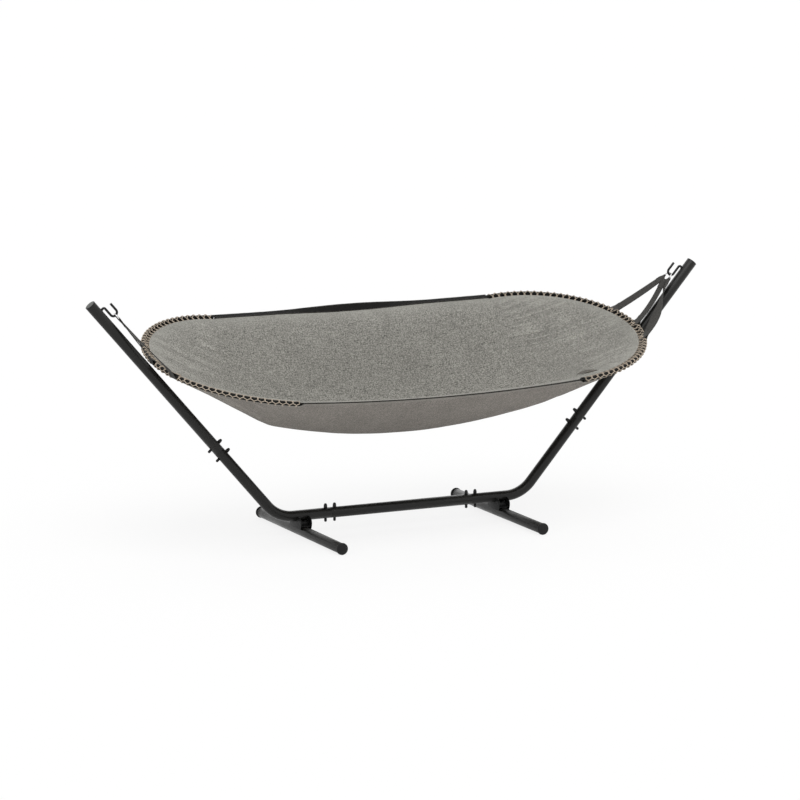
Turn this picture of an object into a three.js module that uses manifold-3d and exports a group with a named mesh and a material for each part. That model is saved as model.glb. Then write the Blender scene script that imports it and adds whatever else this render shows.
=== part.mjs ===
// Hammock on a steel stand: a bed of two cloth layers laced to two bows, hung from two hooks.
// Millimetres, +Z up, +X along the rail, -Y the side that the bed leans towards.
// The stand stands in one upright plane, on two feet that lie across it.
import * as THREE from "three";
import { mergeVertices } from "three/addons/utils/BufferGeometryUtils.js";
import Module from "manifold-3d";

const wasm = await Module();
wasm.setup();

// Clearances
const seatGap = 0.3; // between pieces that touch
const cutOverrun = 5; // how far a cutting tool reaches past what it cuts
const weldGap = 0.001; // points closer than this are one point

// Stand tubes
const tubeDiameter = 50;
const tubeWall = 2;
const railHeight = 98.5; // centre of the rail above the floor
const cornerReach = 630.5; // from the middle to where the rail's line meets a post's line
const postAngle = 49.2; // degrees above the floor
const postLength = 1395; // from that corner to the open top
const elbowRadius = 170;
const postJoint = 447; // from the corner to the seam in a post
const railJoint = 364; // from the middle to the seam at each end of the rail
const sleeveLength = 150;
const sleeveWall = 2;

// Joint bolts
const boltDiameter = 8;
const boltHoleClearance = 0.6;
const postBoltPitch = 60;
const railBoltPitch = 46;
const boltHeadDiameter = 15;
const boltHeadHeight = 17;
const capNutDiameter = 10.5;
const capNutHeight = 17;
const capNutCavity = 9;
const headTaperShare = 0.85; // of a bolt head's width, left where its dome starts
const capRoundShare = 0.3; // of a foot cap's end, taken off its corner
const nutTaperShare = 0.8; // of a cap nut's width, left where its dome starts

// Feet
const footSpacing = 1024; // between the two feet
const footLength = 940; // over the caps
const footHeight = 28; // centre of a foot above the floor
const footCapWall = 12;
const footCapPlug = 22;
const saddleWidth = 130; // along the foot
const saddleWaist = 112;
const saddleSpread = 56; // over its two plates
const saddleWall = 2.7;
const saddleWeb = 4;
const saddleSkirt = 11; // how far the plates reach down beside the foot
const saddleBoss = 20;
const footBoltDiameter = 8;
const footBoltHead = 16;
const footBoltHeadHeight = 5;
const insertDiameter = 13;
const insertFlange = 17;
const insertFlangeThickness = 1.2;
const insertLength = 14;
const accessHole = 20;

// Post plugs
const plugFlange = 2.5;
const plugDepth = 18;
const plugWall = 2.5;

// Hooks, in distances down from a post's top and inward from its axis
const hookBar = 10;
const hookStart = 54;
const hookArch = 8;
const hookNearLeg = 41;
const hookLegGap = 34;
const hookBottom = 120;
const hookTip = 63;

// Rings
const ringRadius = 22;
const ringWire = 6;

// Bed rim, about the line through both hooks
const restRoll = 13.84; // degrees: the near side hangs low
const bedDrop = 264.4; // from the hooks' line to the bows' ends
const bedShift = 24.9; // how far the rim's middle lies off the hooks' line, towards the near side
const bowRadius = 519;
const tipInset = 182.7; // from the hook in to the bow's tip, along the bed
const bowRise = 39; // of the tip above the ends
const bowDiameter = 19;
const bowWall = 2;
const sideBulge = 27; // of the side bands past the bows' ends
const sideSag = 16;

// Straps
const strapWidth = 40;
const strapGather = 15; // width where a strap is gathered on the ring
const strapThickness = 3;
const strapLoopWall = 1.2;
const bowLoopClearance = 1.9;
const ringLoopClearance = 0.9;
const strapSpacing = 180; // between straps, round the bow
const strapShift = -20; // of the middle strap from the bow's tip, round the bow
const ringStep = 58; // degrees between straps on the ring

// Lacing
const cordDiameter = 3.2;
const lacePitch = 35;
const laceRadius = 14.7;
const laceZone = 62; // length of bow that each strap takes
const laceEnd = 12;

// Cloth
const clothThickness = 3;
const foldInset = 53; // from a bow's ends in to the fold across that end of the cloth
const outerDepth = 380;
const outerFoldDepth = 302;
const innerDepth = 362;
const innerFoldDepth = 286;
const hemGap = 0.5;
const bandWidth = 48;
const bandThickness = 2.5;
const bandLean = 22; // degrees in the middle, outer edge up
const farLeanShape = 1.7; // power of the far band's lean
const nearLeanShape = 0.5; // power of the near band's lean, which starts at the bows
const bandLift = 3.5;
const bandGap = 1.4; // from the bands down to the outer layer's hem
const hemBlend = 90; // length over which the hems pass from bow to band

// Leather tag
const tagLength = 96;
const tagWidth = 30;
const tagThickness = 1.6;
const tagInset = 61; // from the bow to the tag's middle
const tagTurn = -74; // degrees round the right bow from its tip
const tagGap = 0.5;

// Counts and shares
const tubeSides = 16;
const smallSides = 10;
const holeSides = 8;
const elbowSteps = 7;
const hookBendSteps = 5;
const ringWireSides = 6;
const ringSteps = 24;
const laceSides = 4;
const outlineSteps = 4; // of each curve in a saddle's outline
const bowSteps = 28;
const bowSides = 10;
const bowBoreSides = 6;
const laceStepsPerTurn = 6;
const bandSteps = 24;
const bowStations = 12;
const sideStations = 8;
const loopSides = 12;
const strapShares = [0, 0.1, 0.25, 0.4, 0.55, 0.7, 0.85, 1];
const gatherShare = 0.2; // of a strap's band, taken to reach its full width
const skewPower = 3; // how fast a strap's band straightens after it leaves a slanting loop
const bandSeatShare = 0.55; // of a loop's wall, where the strap's band starts
const ringShares = [1, 0.95, 0.87, 0.76, 0.6, 0.4, 0.2, 0];
const hemPower = 4; // how fast a layer leaves the level of its hem
const farLeanShare = 0.724; // of the side's half length, over which the far band leans
const riseShare = 1.57; // how steeply a bow starts to rise, as a share of its mean slope
const outerShape = 1.8; // power of the outer layer's trough
const innerShape = 1.8; // power of the inner layer's bell
const endShape = 0.9; // power of the slope from each fold up to the bow's tip

// Derived sizes
const tubeRadius = tubeDiameter / 2;
const boreRadius = tubeRadius - tubeWall;
const flatShare = Math.cos(Math.PI / tubeSides); // from a tube's centre to its flats
const slope = THREE.MathUtils.degToRad(postAngle);
const cordRadius = cordDiameter / 2;
const bowBarRadius = bowDiameter / 2;
const laceReach = laceRadius + cordRadius;
const footHalf = footLength / 2 - footCapWall;

// Materials
const finish = (color, roughness, metalness = 0) =>
  new THREE.MeshStandardMaterial({ color, roughness, metalness });
const powderCoat = () => finish(0x2b2a28, 0.45, 0.3);
const blackPlastic = () => finish(0x1a1a1a, 0.6);
const blackSteel = () => finish(0x242424, 0.4, 0.8);
const galvanised = () => finish(0x9a9a98, 0.5, 0.9);
const polishedSteel = () => finish(0xc8c8c8, 0.2, 1);
const webbing = () => finish(0x4a4a48, 0.9);
const darkWebbing = () => finish(0x333230, 0.9);
const innerCloth = () => finish(0x9f9c95, 0.95);
const outerCloth = () => finish(0x86827b, 0.95);
const laceCord = () => finish(0xb5a894, 0.9);
const leather = () => finish(0x6b5640, 0.7);

// A closed mesh as a solid for joining and cutting
function solidOf(geometry) {
  const bare = geometry.index ? geometry.toNonIndexed() : geometry.clone();
  bare.deleteAttribute("normal");
  bare.deleteAttribute("uv");
  const merged = mergeVertices(bare, weldGap);
  return new wasm.Manifold(
    new wasm.Mesh({
      numProp: 3,
      vertProperties: merged.attributes.position.array,
      triVerts: new Uint32Array(merged.index.array),
    }),
  );
}

// A solid back to a geometry
function geometryOf(solid) {
  const mesh = solid.getMesh();
  const geometry = new THREE.BufferGeometry();
  geometry.setAttribute("position", new THREE.BufferAttribute(mesh.vertProperties, 3));
  geometry.setIndex(new THREE.BufferAttribute(mesh.triVerts, 1));
  return geometry;
}

function cut(geometry, tools) {
  return geometryOf(tools.reduce((rest, tool) => rest.subtract(solidOf(tool)), solidOf(geometry)));
}

function join(geometries) {
  return geometryOf(geometries.map(solidOf).reduce((all, one) => all.add(one)));
}

// A solid turned about Z, from pairs of radius and height that start and end on the axis
function turned(profile, sides) {
  return new THREE.LatheGeometry(profile.map(([r, z]) => new THREE.Vector2(r, z)), sides).rotateX(
    Math.PI / 2,
  );
}

// A straight tube along Z, from low to high
function pipe(outer, inner, low, high, sides) {
  const corners = [[inner, low], [outer, low], [outer, high], [inner, high], [inner, low]];
  return turned(corners, sides);
}

// A straight rod along Z, from low to high
function rod(radius, low, high, sides) {
  return turned([[0, low], [radius, low], [radius, high], [0, high]], sides);
}

// A path of straight runs joined by round bends, in which each bend takes the same number of steps
class BentPath extends THREE.Curve {
  constructor(corners, radii, bendSteps) {
    super();
    this.runs = [];
    let from = corners[0];
    for (let i = 1; i < corners.length - 1; i++) {
      const before = new THREE.Vector3().subVectors(corners[i - 1], corners[i]).normalize();
      const after = new THREE.Vector3().subVectors(corners[i + 1], corners[i]).normalize();
      const half = before.angleTo(after) / 2;
      const setback = radii[i - 1] / Math.tan(half);
      const start = corners[i].clone().addScaledVector(before, setback);
      const end = corners[i].clone().addScaledVector(after, setback);
      const middle = new THREE.Vector3().addVectors(before, after).normalize();
      const centre = corners[i].clone().addScaledVector(middle, radii[i - 1] / Math.sin(half));
      if (start.distanceTo(from) > seatGap) this.runs.push({ from, to: start, steps: 1 });
      this.runs.push({ from: start, to: end, centre, turn: Math.PI - 2 * half, steps: bendSteps });
      from = end;
    }
    this.runs.push({ from, to: corners.at(-1), steps: 1 });
    this.steps = this.runs.reduce((sum, run) => sum + run.steps, 0);
  }
  getUtoTmapping(u) {
    return u;
  }
  getPoint(t, target = new THREE.Vector3()) {
    let place = t * this.steps;
    let index = 0;
    while (index < this.runs.length - 1 && place > this.runs[index].steps) {
      place -= this.runs[index].steps;
      index += 1;
    }
    const run = this.runs[index];
    const share = place / run.steps;
    if (!run.centre) return target.lerpVectors(run.from, run.to, share);
    const first = new THREE.Vector3().subVectors(run.from, run.centre);
    const last = new THREE.Vector3().subVectors(run.to, run.centre);
    const axis = new THREE.Vector3().crossVectors(first, last).normalize();
    return target.copy(first).applyAxisAngle(axis, run.turn * share).add(run.centre);
  }
}

// A round bar or tube along a path
function circle(radius, sides) {
  return Array.from({ length: sides }, (_, i) => {
    const angle = (2 * Math.PI * i) / sides;
    return new THREE.Vector2(radius * Math.cos(angle), radius * Math.sin(angle));
  });
}

function sweep(path, steps, outer, sides, bore, boreSides) {
  const section = new THREE.Shape(circle(outer, sides));
  if (bore) section.holes.push(new THREE.Path(circle(bore, boreSides)));
  return new THREE.ExtrudeGeometry(section, { extrudePath: path, steps, bevelEnabled: false });
}

const standGroup = new THREE.Group();
const bedGroup = new THREE.Group();

function add(group, name, geometry, material) {
  const mesh = new THREE.Mesh(geometry, material);
  mesh.name = name;
  group.add(mesh);
  return mesh;
}

// A point of a post's line: distance down from its top and inward from its axis
function postPoint(side, down, inward) {
  const along = postLength - down;
  return new THREE.Vector3(
    side * (cornerReach + along * Math.cos(slope) - inward * Math.sin(slope)),
    0,
    railHeight + along * Math.sin(slope) + inward * Math.cos(slope),
  );
}

// Lays a piece that was made along Z on a post's line, its +X side inward
function layOnPost(mesh, side, down) {
  mesh.position.copy(postPoint(side, down, 0));
  mesh.rotation.y = side * (Math.PI / 2 - slope);
  return mesh;
}

// Bolt holes across a tube that lies along Z, at the given heights
function boltHoles(heights) {
  const radius = boltDiameter / 2 + boltHoleClearance;
  const reach = tubeRadius + cutOverrun;
  return heights.map((height) =>
    rod(radius, -reach, reach, holeSides).rotateY(Math.PI / 2).translate(0, 0, height),
  );
}

function makePosts(side, label) {
  const top = postLength - postJoint - seatGap / 2;
  const pitch = postBoltPitch / 2;
  const tube = pipe(tubeRadius, boreRadius, -top, 0, tubeSides);
  const post = cut(tube, boltHoles([-(top + seatGap / 2 - pitch)]));
  layOnPost(add(standGroup, `${label}_upper_post`, post, powderCoat()), side, 0);
  const plug = turned(
    [
      [0, 0],
      [boreRadius - seatGap - plugWall, 0],
      [boreRadius - seatGap - plugWall, -plugDepth],
      [boreRadius - seatGap, -plugDepth],
      [boreRadius - seatGap, seatGap],
      [tubeRadius, seatGap],
      [tubeRadius, plugFlange],
      [0, plugFlange],
    ],
    tubeSides,
  );
  layOnPost(add(standGroup, `${label}_post_plug`, plug, blackPlastic()), side, 0);
}

function makeElbow(side, label) {
  const path = new BentPath(
    [
      postPoint(side, postLength - postJoint + seatGap / 2, 0),
      new THREE.Vector3(side * cornerReach, 0, railHeight),
      new THREE.Vector3(side * (railJoint + seatGap / 2), 0, railHeight),
    ],
    [elbowRadius],
    elbowSteps,
  );
  const inward = new THREE.Vector3(-side * Math.sin(slope), 0, Math.cos(slope));
  const reach = tubeRadius + cutOverrun;
  const holeRadius = boltDiameter / 2 + boltHoleClearance;
  const upper = postPoint(side, postLength - postJoint + postBoltPitch / 2, 0);
  const postHole = rod(holeRadius, -reach, reach, holeSides)
    .rotateY(Math.atan2(inward.x, inward.z))
    .translate(upper.x, 0, upper.z);
  const railHole = rod(holeRadius, -reach, reach, holeSides).translate(
    side * (railJoint + railBoltPitch / 2),
    0,
    railHeight,
  );
  const insertHole = rod(insertDiameter / 2 + seatGap, -reach, 0, smallSides).translate(
    (side * footSpacing) / 2,
    0,
    railHeight,
  );
  const tube = sweep(path, path.steps, tubeRadius, tubeSides, boreRadius, tubeSides);
  add(standGroup, `${label}_elbow`, cut(tube, [postHole, railHole, insertHole]), powderCoat());
}

function makeRail() {
  const half = railJoint - seatGap / 2;
  const hole = railJoint - railBoltPitch / 2;
  const rail = cut(pipe(tubeRadius, boreRadius, -half, half, tubeSides), boltHoles([-hole, hole]));
  const mesh = add(standGroup, "centre_rail", rail, powderCoat());
  mesh.rotation.y = -Math.PI / 2;
  mesh.position.z = railHeight;
}

function sleeveGeometry(pitch) {
  const radius = boreRadius - seatGap;
  const half = sleeveLength / 2;
  const tube = pipe(radius, radius - sleeveWall, -half, half, tubeSides);
  return cut(tube, boltHoles([-pitch / 2, pitch / 2]));
}

// A bolt along Z through a tube, its tall domed head up
function boltGeometry() {
  const seat = tubeRadius + seatGap;
  const shank = boltDiameter / 2;
  const head = boltHeadDiameter / 2;
  const top = seat + boltHeadHeight;
  return turned(
    [
      [0, -seat - capNutCavity],
      [shank, -seat - capNutCavity],
      [shank, seat],
      [head, seat],
      [head * headTaperShare, top - head / 2],
      [0, top],
    ],
    smallSides,
  );
}

// A slim cap nut on the bolt's lower end
function capNutGeometry() {
  const seat = -tubeRadius - seatGap;
  const bore = boltDiameter / 2 + seatGap / 2;
  const outer = capNutDiameter / 2;
  const bottom = seat - capNutHeight;
  return turned(
    [
      [0, bottom],
      [outer * nutTaperShare, bottom + outer / 2],
      [outer, seat],
      [bore, seat],
      [bore, seat - capNutCavity - seatGap],
      [0, seat - capNutCavity - seatGap],
    ],
    smallSides,
  );
}

function makeJointFasteners() {
  for (const [side, label] of [[-1, "left"], [1, "right"]]) {
    const seam = postLength - postJoint;
    const postSleeve = sleeveGeometry(postBoltPitch);
    layOnPost(add(standGroup, `${label}_post_sleeve`, postSleeve, galvanised()), side, seam);
    const railSleeve = sleeveGeometry(railBoltPitch);
    const sleeve = add(standGroup, `${label}_rail_sleeve`, railSleeve, galvanised());
    sleeve.rotation.y = Math.PI / 2;
    sleeve.position.set(side * railJoint, 0, railHeight);
    for (const [step, place] of [[-0.5, "upper"], [0.5, "lower"]]) {
      const at = postPoint(side, seam + step * postBoltPitch, 0);
      for (const [kind, geometry] of [["bolt", boltGeometry()], ["cap_nut", capNutGeometry()]]) {
        const mesh = add(standGroup, `${label}_post_${kind}_${place}`, geometry, blackSteel());
        mesh.position.copy(at);
        mesh.rotation.y = -side * slope;
      }
    }
    for (const [step, place] of [[-0.5, "inner"], [0.5, "outer"]]) {
      for (const [kind, geometry] of [["bolt", boltGeometry()], ["cap_nut", capNutGeometry()]]) {
        const mesh = add(standGroup, `${label}_rail_${kind}_${place}`, geometry, blackSteel());
        mesh.position.set(side * (railJoint + step * railBoltPitch), 0, railHeight);
      }
    }
  }
}

// A foot cap: its closed end outward along +Z, a plug inside the foot, one flat of its rim down
function footCapGeometry() {
  const rim = footHeight / flatShare;
  const plug = boreRadius - seatGap;
  const round = footCapWall * capRoundShare;
  return turned(
    [
      [0, 0],
      [plug - plugWall, 0],
      [plug - plugWall, -footCapPlug],
      [plug, -footCapPlug],
      [plug, seatGap],
      [rim, seatGap],
      [rim, footCapWall - round],
      [rim - round, footCapWall],
      [0, footCapWall],
    ],
    tubeSides,
  ).rotateZ(Math.PI / tubeSides);
}

function makeFoot(side, label) {
  const at = (side * footSpacing) / 2;
  const tube = pipe(tubeRadius, boreRadius, -footHalf, footHalf, tubeSides)
    .rotateZ(Math.PI / tubeSides)
    .rotateX(Math.PI / 2);
  const reach = tubeRadius + cutOverrun;
  const boltHole = rod(footBoltDiameter / 2 + boltHoleClearance, 0, reach, smallSides);
  const access = rod(accessHole / 2, -reach, 0, smallSides);
  const foot = add(standGroup, `${label}_foot`, cut(tube, [boltHole, access]), powderCoat());
  foot.position.set(at, 0, footHeight);
  for (const [end, place] of [[-1, "near"], [1, "far"]]) {
    const cap = footCapGeometry().rotateX(-end * Math.PI / 2);
    const mesh = add(standGroup, `${label}_foot_cap_${place}`, cap, blackPlastic());
    mesh.position.set(at, end * footHalf, footHeight);
  }
}

// A saddle block: two plates astride the foot, coped to the rail, and a web with a boss for the bolt
function makeSaddle(side, label) {
  const low = footHeight + tubeRadius - saddleSkirt;
  const high = railHeight;
  const middle = (low + high) / 2;
  const wide = saddleWidth / 2;
  const waist = saddleWaist / 2;
  const outline = new THREE.Shape();
  outline.moveTo(-waist, low);
  outline.lineTo(waist, low);
  outline.quadraticCurveTo(wide, middle - saddleSkirt, wide, middle);
  outline.quadraticCurveTo(wide, high - saddleSkirt, waist - saddleSkirt, high);
  outline.lineTo(-waist + saddleSkirt, high);
  outline.quadraticCurveTo(-wide, high - saddleSkirt, -wide, middle);
  outline.quadraticCurveTo(-wide, middle - saddleSkirt, -waist, low);
  const plates = [-1, 1].map((face) => {
    const plate = new THREE.ExtrudeGeometry(outline, {
      depth: saddleWall,
      bevelEnabled: false,
      curveSegments: outlineSteps,
    });
    plate.rotateX(Math.PI / 2).rotateZ(Math.PI / 2);
    return plate.translate(face * (saddleSpread / 2) - (face > 0 ? saddleWall : 0), 0, 0);
  });
  const webBottom = footHeight + tubeRadius * flatShare + seatGap;
  const web = new THREE.BoxGeometry(saddleSpread - saddleWall, saddleWaist, saddleWeb);
  web.translate(0, 0, webBottom + saddleWeb / 2);
  const boss = rod(saddleBoss / 2, webBottom + saddleWeb / 2, railHeight, smallSides);
  const bolt = rod(footBoltDiameter / 2 + boltHoleClearance, 0, railHeight, smallSides);
  const reach = saddleSpread / 2 + cutOverrun;
  const cope = rod(tubeRadius + seatGap, -reach, reach, 2 * tubeSides)
    .rotateY(Math.PI / 2)
    .translate(0, 0, railHeight);
  const flange = rod(insertFlange / 2 + seatGap, 0, railHeight, smallSides).translate(
    0,
    0,
    railHeight - tubeRadius - insertFlangeThickness - 2 * seatGap,
  );
  const saddle = cut(join([...plates, web, boss]), [cope, bolt, flange]);
  const mesh = add(standGroup, `${label}_saddle`, saddle, blackPlastic());
  mesh.position.x = (side * footSpacing) / 2;
}

// The bolt that holds a foot: its head inside the foot, its end in the rail's threaded insert
function makeFootBolt(side, label) {
  const headReach = Math.sqrt(boreRadius ** 2 - (footBoltHead / 2) ** 2);
  const head = footHeight + headReach * flatShare - seatGap;
  const seat = railHeight - tubeRadius - seatGap;
  const bolt = turned(
    [
      [0, head - footBoltHeadHeight],
      [footBoltHead / 2, head - footBoltHeadHeight],
      [footBoltHead / 2, head],
      [footBoltDiameter / 2, head],
      [footBoltDiameter / 2, seat + insertLength - insertFlangeThickness],
      [0, seat + insertLength - insertFlangeThickness],
    ],
    smallSides,
  );
  const boltMesh = add(standGroup, `${label}_foot_bolt`, bolt, galvanised());
  boltMesh.position.x = (side * footSpacing) / 2;
  const bore = footBoltDiameter / 2 + seatGap;
  const insert = turned(
    [
      [bore, seat - insertFlangeThickness],
      [insertFlange / 2, seat - insertFlangeThickness],
      [insertFlange / 2, seat],
      [insertDiameter / 2, seat],
      [insertDiameter / 2, seat + insertLength],
      [bore, seat + insertLength],
      [bore, seat - insertFlangeThickness],
    ],
    smallSides,
  );
  const insertMesh = add(standGroup, `${label}_rail_insert`, insert, galvanised());
  insertMesh.position.x = (side * footSpacing) / 2;
}

// A bar that leaves the post, runs down beside it and turns up again round the ring
function makeHook(side, label) {
  const farLeg = hookNearLeg + hookLegGap;
  const path = new BentPath(
    [
      postPoint(side, hookStart, tubeRadius + seatGap),
      postPoint(side, hookStart, hookNearLeg),
      postPoint(side, hookBottom, hookNearLeg),
      postPoint(side, hookBottom, farLeg),
      postPoint(side, hookTip, farLeg),
    ],
    [hookArch, hookLegGap / 2 - seatGap, hookLegGap / 2 - seatGap],
    hookBendSteps,
  );
  add(standGroup, `${label}_hook`, sweep(path, path.steps, hookBar / 2, holeSides), blackSteel());
}

// The hooks' line, at the middle of each hook's lowest bar
const hookCentre = postPoint(1, hookBottom, hookNearLeg + hookLegGap / 2);
const bowCentre = hookCentre.x - tipInset - bowRadius; // from the middle to each bow's ends
const foldReach = bowCentre - foldInset;

// Bed places are measured from the hooks' line, with the bed level
const rimMiddle = new THREE.Vector3(0, -bedShift, -bedDrop);

const bowEndSlope = (bowRise * riseShare) / bowRadius;

// Height of the bow or side band above the bows' ends, at a distance along the bed
function rimLift(x) {
  const reach = Math.abs(x);
  if (reach < bowCentre) return -sideSag * (1 - (reach / bowCentre) ** 2);
  const share = Math.min((reach - bowCentre) / bowRadius, 1);
  return bowRise * share * (riseShare - (riseShare - 1) * share);
}

function rimHalfWidth(x) {
  const reach = Math.abs(x);
  if (reach < bowCentre) return bowRadius + sideBulge * (1 - (reach / bowCentre) ** 2);
  return Math.sqrt(Math.max(bowRadius ** 2 - (reach - bowCentre) ** 2, 0));
}

// A place of the rim's line: angle round the bow's centre from its tip
function bowPoint(side, angle) {
  const x = bowCentre + bowRadius * Math.cos(angle);
  return new THREE.Vector3(side * x, bowRadius * Math.sin(angle), rimLift(x)).add(rimMiddle);
}

// The bow's own way at an angle
function bowWay(side, angle) {
  const step = 1 / bowSteps;
  return bowPoint(side, angle + step).sub(bowPoint(side, angle - step)).normalize();
}

class BowPath extends THREE.Curve {
  constructor(side) {
    super();
    this.side = side;
  }
  getPoint(t, target = new THREE.Vector3()) {
    return target.copy(bowPoint(this.side, (t - 0.5) * Math.PI));
  }
}

function makeBow(side, label) {
  const bore = bowBarRadius - bowWall;
  const bow = sweep(new BowPath(side), bowSteps, bowBarRadius, bowSides, bore, bowBoreSides);
  add(bedGroup, `${label}_bow`, bow, powderCoat());
}

const strapAngles = [-1, 0, 1].map((step) => (strapShift + step * strapSpacing) / bowRadius);

// The lacing goes round the bow between the straps, and runs straight past each of them
const bowLength = Math.PI * bowRadius;
const laceLength = bowLength - 2 * laceEnd;
const laceTurning = laceLength - strapAngles.length * laceZone;
const laceTurns = Math.round(laceTurning / lacePitch);

function laceTurn(distance) {
  const still = strapAngles
    .map((angle) => distance - bowLength / 2 - angle * bowRadius + laceZone / 2)
    .reduce((sum, past) => sum + THREE.MathUtils.clamp(past, 0, laceZone), 0);
  return (2 * Math.PI * laceTurns * (distance - laceEnd - still)) / laceTurning;
}

class LacePath extends THREE.Curve {
  constructor(side) {
    super();
    this.side = side;
  }
  getPoint(t, target = new THREE.Vector3()) {
    const distance = laceEnd + t * laceLength;
    const angle = distance / bowRadius - Math.PI / 2;
    const turn = Math.PI + laceTurn(distance);
    const outward = new THREE.Vector3(this.side * Math.cos(angle), Math.sin(angle), 0);
    target.copy(bowPoint(this.side, angle));
    target.addScaledVector(outward, laceRadius * Math.cos(turn));
    target.z += laceRadius * Math.sin(turn);
    return target;
  }
  getUtoTmapping(u) {
    return u;
  }
}

// The least clear space between the lacing's turns, taken on points more than half a turn apart
function leastGap(path, steps) {
  const points = path.getPoints(steps);
  const apart = laceStepsPerTurn / 2 + 1;
  let least = Infinity;
  points.forEach((point, i) => {
    for (let j = i + apart; j < points.length; j++)
      least = Math.min(least, point.distanceTo(points[j]));
  });
  return least - cordDiameter;
}

function makeLacing(side, label) {
  const steps = Math.round((laceTurns * laceStepsPerTurn * laceLength) / laceTurning);
  const path = new LacePath(side);
  console.log(`${label} lacing: least gap to itself ${leastGap(path, steps).toFixed(1)} mm`);
  const lace = sweep(path, steps, cordRadius, laceSides);
  add(bedGroup, `${label}_lacing`, lace, laceCord());
}

// The ring hangs on the hook's lowest bar, in the plane of the bed's cross line and its own pull
function ringPull(side) {
  return new THREE.Vector3(-side * Math.cos(slope), 0, -Math.sin(slope));
}

function ringCentre(side) {
  const wireTop = hookBar / 2 + seatGap + ringWire / 2;
  return new THREE.Vector3(side * hookCentre.x, 0, 0).addScaledVector(
    ringPull(side),
    ringRadius - wireTop,
  );
}

// How far the ring's wire bends away from its own line under half a strap's loop
const loopBend = strapGather ** 2 / (16 * ringRadius);

// The middle of a strap's loop on the ring, by its angle from the ring's lowest point
function loopPoint(side, angle) {
  const radius = ringRadius - loopBend;
  const point = ringCentre(side).addScaledVector(ringPull(side), radius * Math.cos(angle));
  point.y += radius * Math.sin(angle);
  return point;
}

function makeRing(side, label) {
  const ring = new THREE.TorusGeometry(ringRadius, ringWire / 2, ringWireSides, ringSteps);
  ring.rotateY(Math.PI / 2);
  const mesh = add(bedGroup, `${label}_ring`, ring, polishedSteel());
  mesh.position.copy(ringCentre(side));
  mesh.rotation.y = side * (Math.PI / 2 - slope);
}

// A sleeve about an axis: the sewn loop at a strap's end
function loopGeometry(centre, axis, inner, width) {
  const tube = pipe(inner + strapLoopWall, inner, -width / 2, width / 2, loopSides);
  const turn = new THREE.Quaternion().setFromUnitVectors(new THREE.Vector3(0, 0, 1), axis);
  return tube.applyQuaternion(turn).translate(centre.x, centre.y, centre.z);
}

// A closed solid through sections of four corners each, which run the same way round
function loft(sections) {
  const index = [];
  for (let i = 0; i < sections.length - 1; i++)
    for (let k = 0; k < 4; k++) {
      const a = 4 * i + k;
      const b = 4 * i + ((k + 1) % 4);
      index.push(a, b, b + 4, a, b + 4, a + 4);
    }
  index.push(0, 2, 1, 0, 3, 2);
  const last = 4 * (sections.length - 1);
  index.push(last, last + 1, last + 2, last, last + 2, last + 3);
  const geometry = new THREE.BufferGeometry().setFromPoints(sections.flat());
  geometry.setIndex(index);
  return geometry;
}

// A band between two loops that leaves each in line with its axis and turns over by the given twist
function strapBand([first, last], twist) {
  const run = new THREE.Vector3().subVectors(last.at, first.at).normalize();
  const startSkew = first.axis.dot(run);
  const endSkew = last.axis.dot(run) * Math.cos(twist);
  const start = first.axis.clone().addScaledVector(run, -startSkew).normalize();
  const end = last.axis.clone().addScaledVector(run, -last.axis.dot(run)).normalize();
  const side = new THREE.Vector3().crossVectors(run, start);
  const turn = Math.atan2(end.dot(side), end.dot(start)) + twist;
  return loft(
    strapShares.map((share) => {
      const skew = startSkew * (1 - share) ** skewPower + endSkew * share ** skewPower;
      const across = start.clone().applyAxisAngle(run, turn * share);
      const through = new THREE.Vector3().crossVectors(run, across);
      across.multiplyScalar(Math.sqrt(1 - skew ** 2)).addScaledVector(run, skew);
      const gather = Math.min(share / gatherShare, 1);
      const half = THREE.MathUtils.lerp(first.width, last.width, gather) / 2;
      const corner = (u, v) =>
        new THREE.Vector3()
          .lerpVectors(first.at, last.at, share)
          .addScaledVector(across, u * half)
          .addScaledVector(through, (v * strapThickness) / 2);
      return [corner(-1, -1), corner(1, -1), corner(1, 1), corner(-1, 1)];
    }),
  );
}

function makeStrap(side, step, label, twist) {
  const ringAngle = step * THREE.MathUtils.degToRad(ringStep);
  const bowAngle = strapAngles[step + 1];
  const onRing = loopPoint(side, ringAngle);
  const onBow = bowPoint(side, bowAngle);
  const ringAxis = ringPull(side).multiplyScalar(-Math.sin(ringAngle));
  ringAxis.y = Math.cos(ringAngle);
  const bowAxis = bowWay(side, bowAngle);
  const ringInner = ringWire / 2 + loopBend + ringLoopClearance;
  const bowInner = bowBarRadius + bowLoopClearance;
  const towards = (from, to, axis, distance) => {
    const way = new THREE.Vector3().subVectors(to, from);
    way.addScaledVector(axis, -way.dot(axis)).normalize();
    return from.clone().addScaledVector(way, distance);
  };
  const ends = [
    {
      at: towards(onRing, onBow, ringAxis, ringInner + strapLoopWall * bandSeatShare),
      axis: ringAxis,
      width: strapGather,
    },
    {
      at: towards(onBow, onRing, bowAxis, bowInner + strapLoopWall * bandSeatShare),
      axis: bowAxis,
      width: strapWidth,
    },
  ];
  const strap = join([
    loopGeometry(onRing, ringAxis, ringInner, strapGather),
    loopGeometry(onBow, bowAxis, bowInner, strapWidth),
    strapBand(ends, twist),
  ]);
  add(bedGroup, label, strap, webbing());
}

// Depth of a layer below the rim, by the place in plan
function layerDrop(x, y, middleDepth, foldDepth, profile) {
  const reach = Math.abs(x);
  const tip = bowCentre + bowRadius;
  const depth =
    reach < foldReach
      ? middleDepth - (middleDepth - foldDepth) * (reach / foldReach) ** 2
      : foldDepth * (Math.max(tip - reach, 0) / (tip - foldReach)) ** endShape;
  const share = Math.min(Math.abs(y) / Math.max(rimHalfWidth(x), seatGap), 1);
  return depth * profile(share);
}

const outerProfile = (share) => 1 - share ** outerShape;
const innerProfile = (share) => (1 - share ** 2) ** innerShape;

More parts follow.
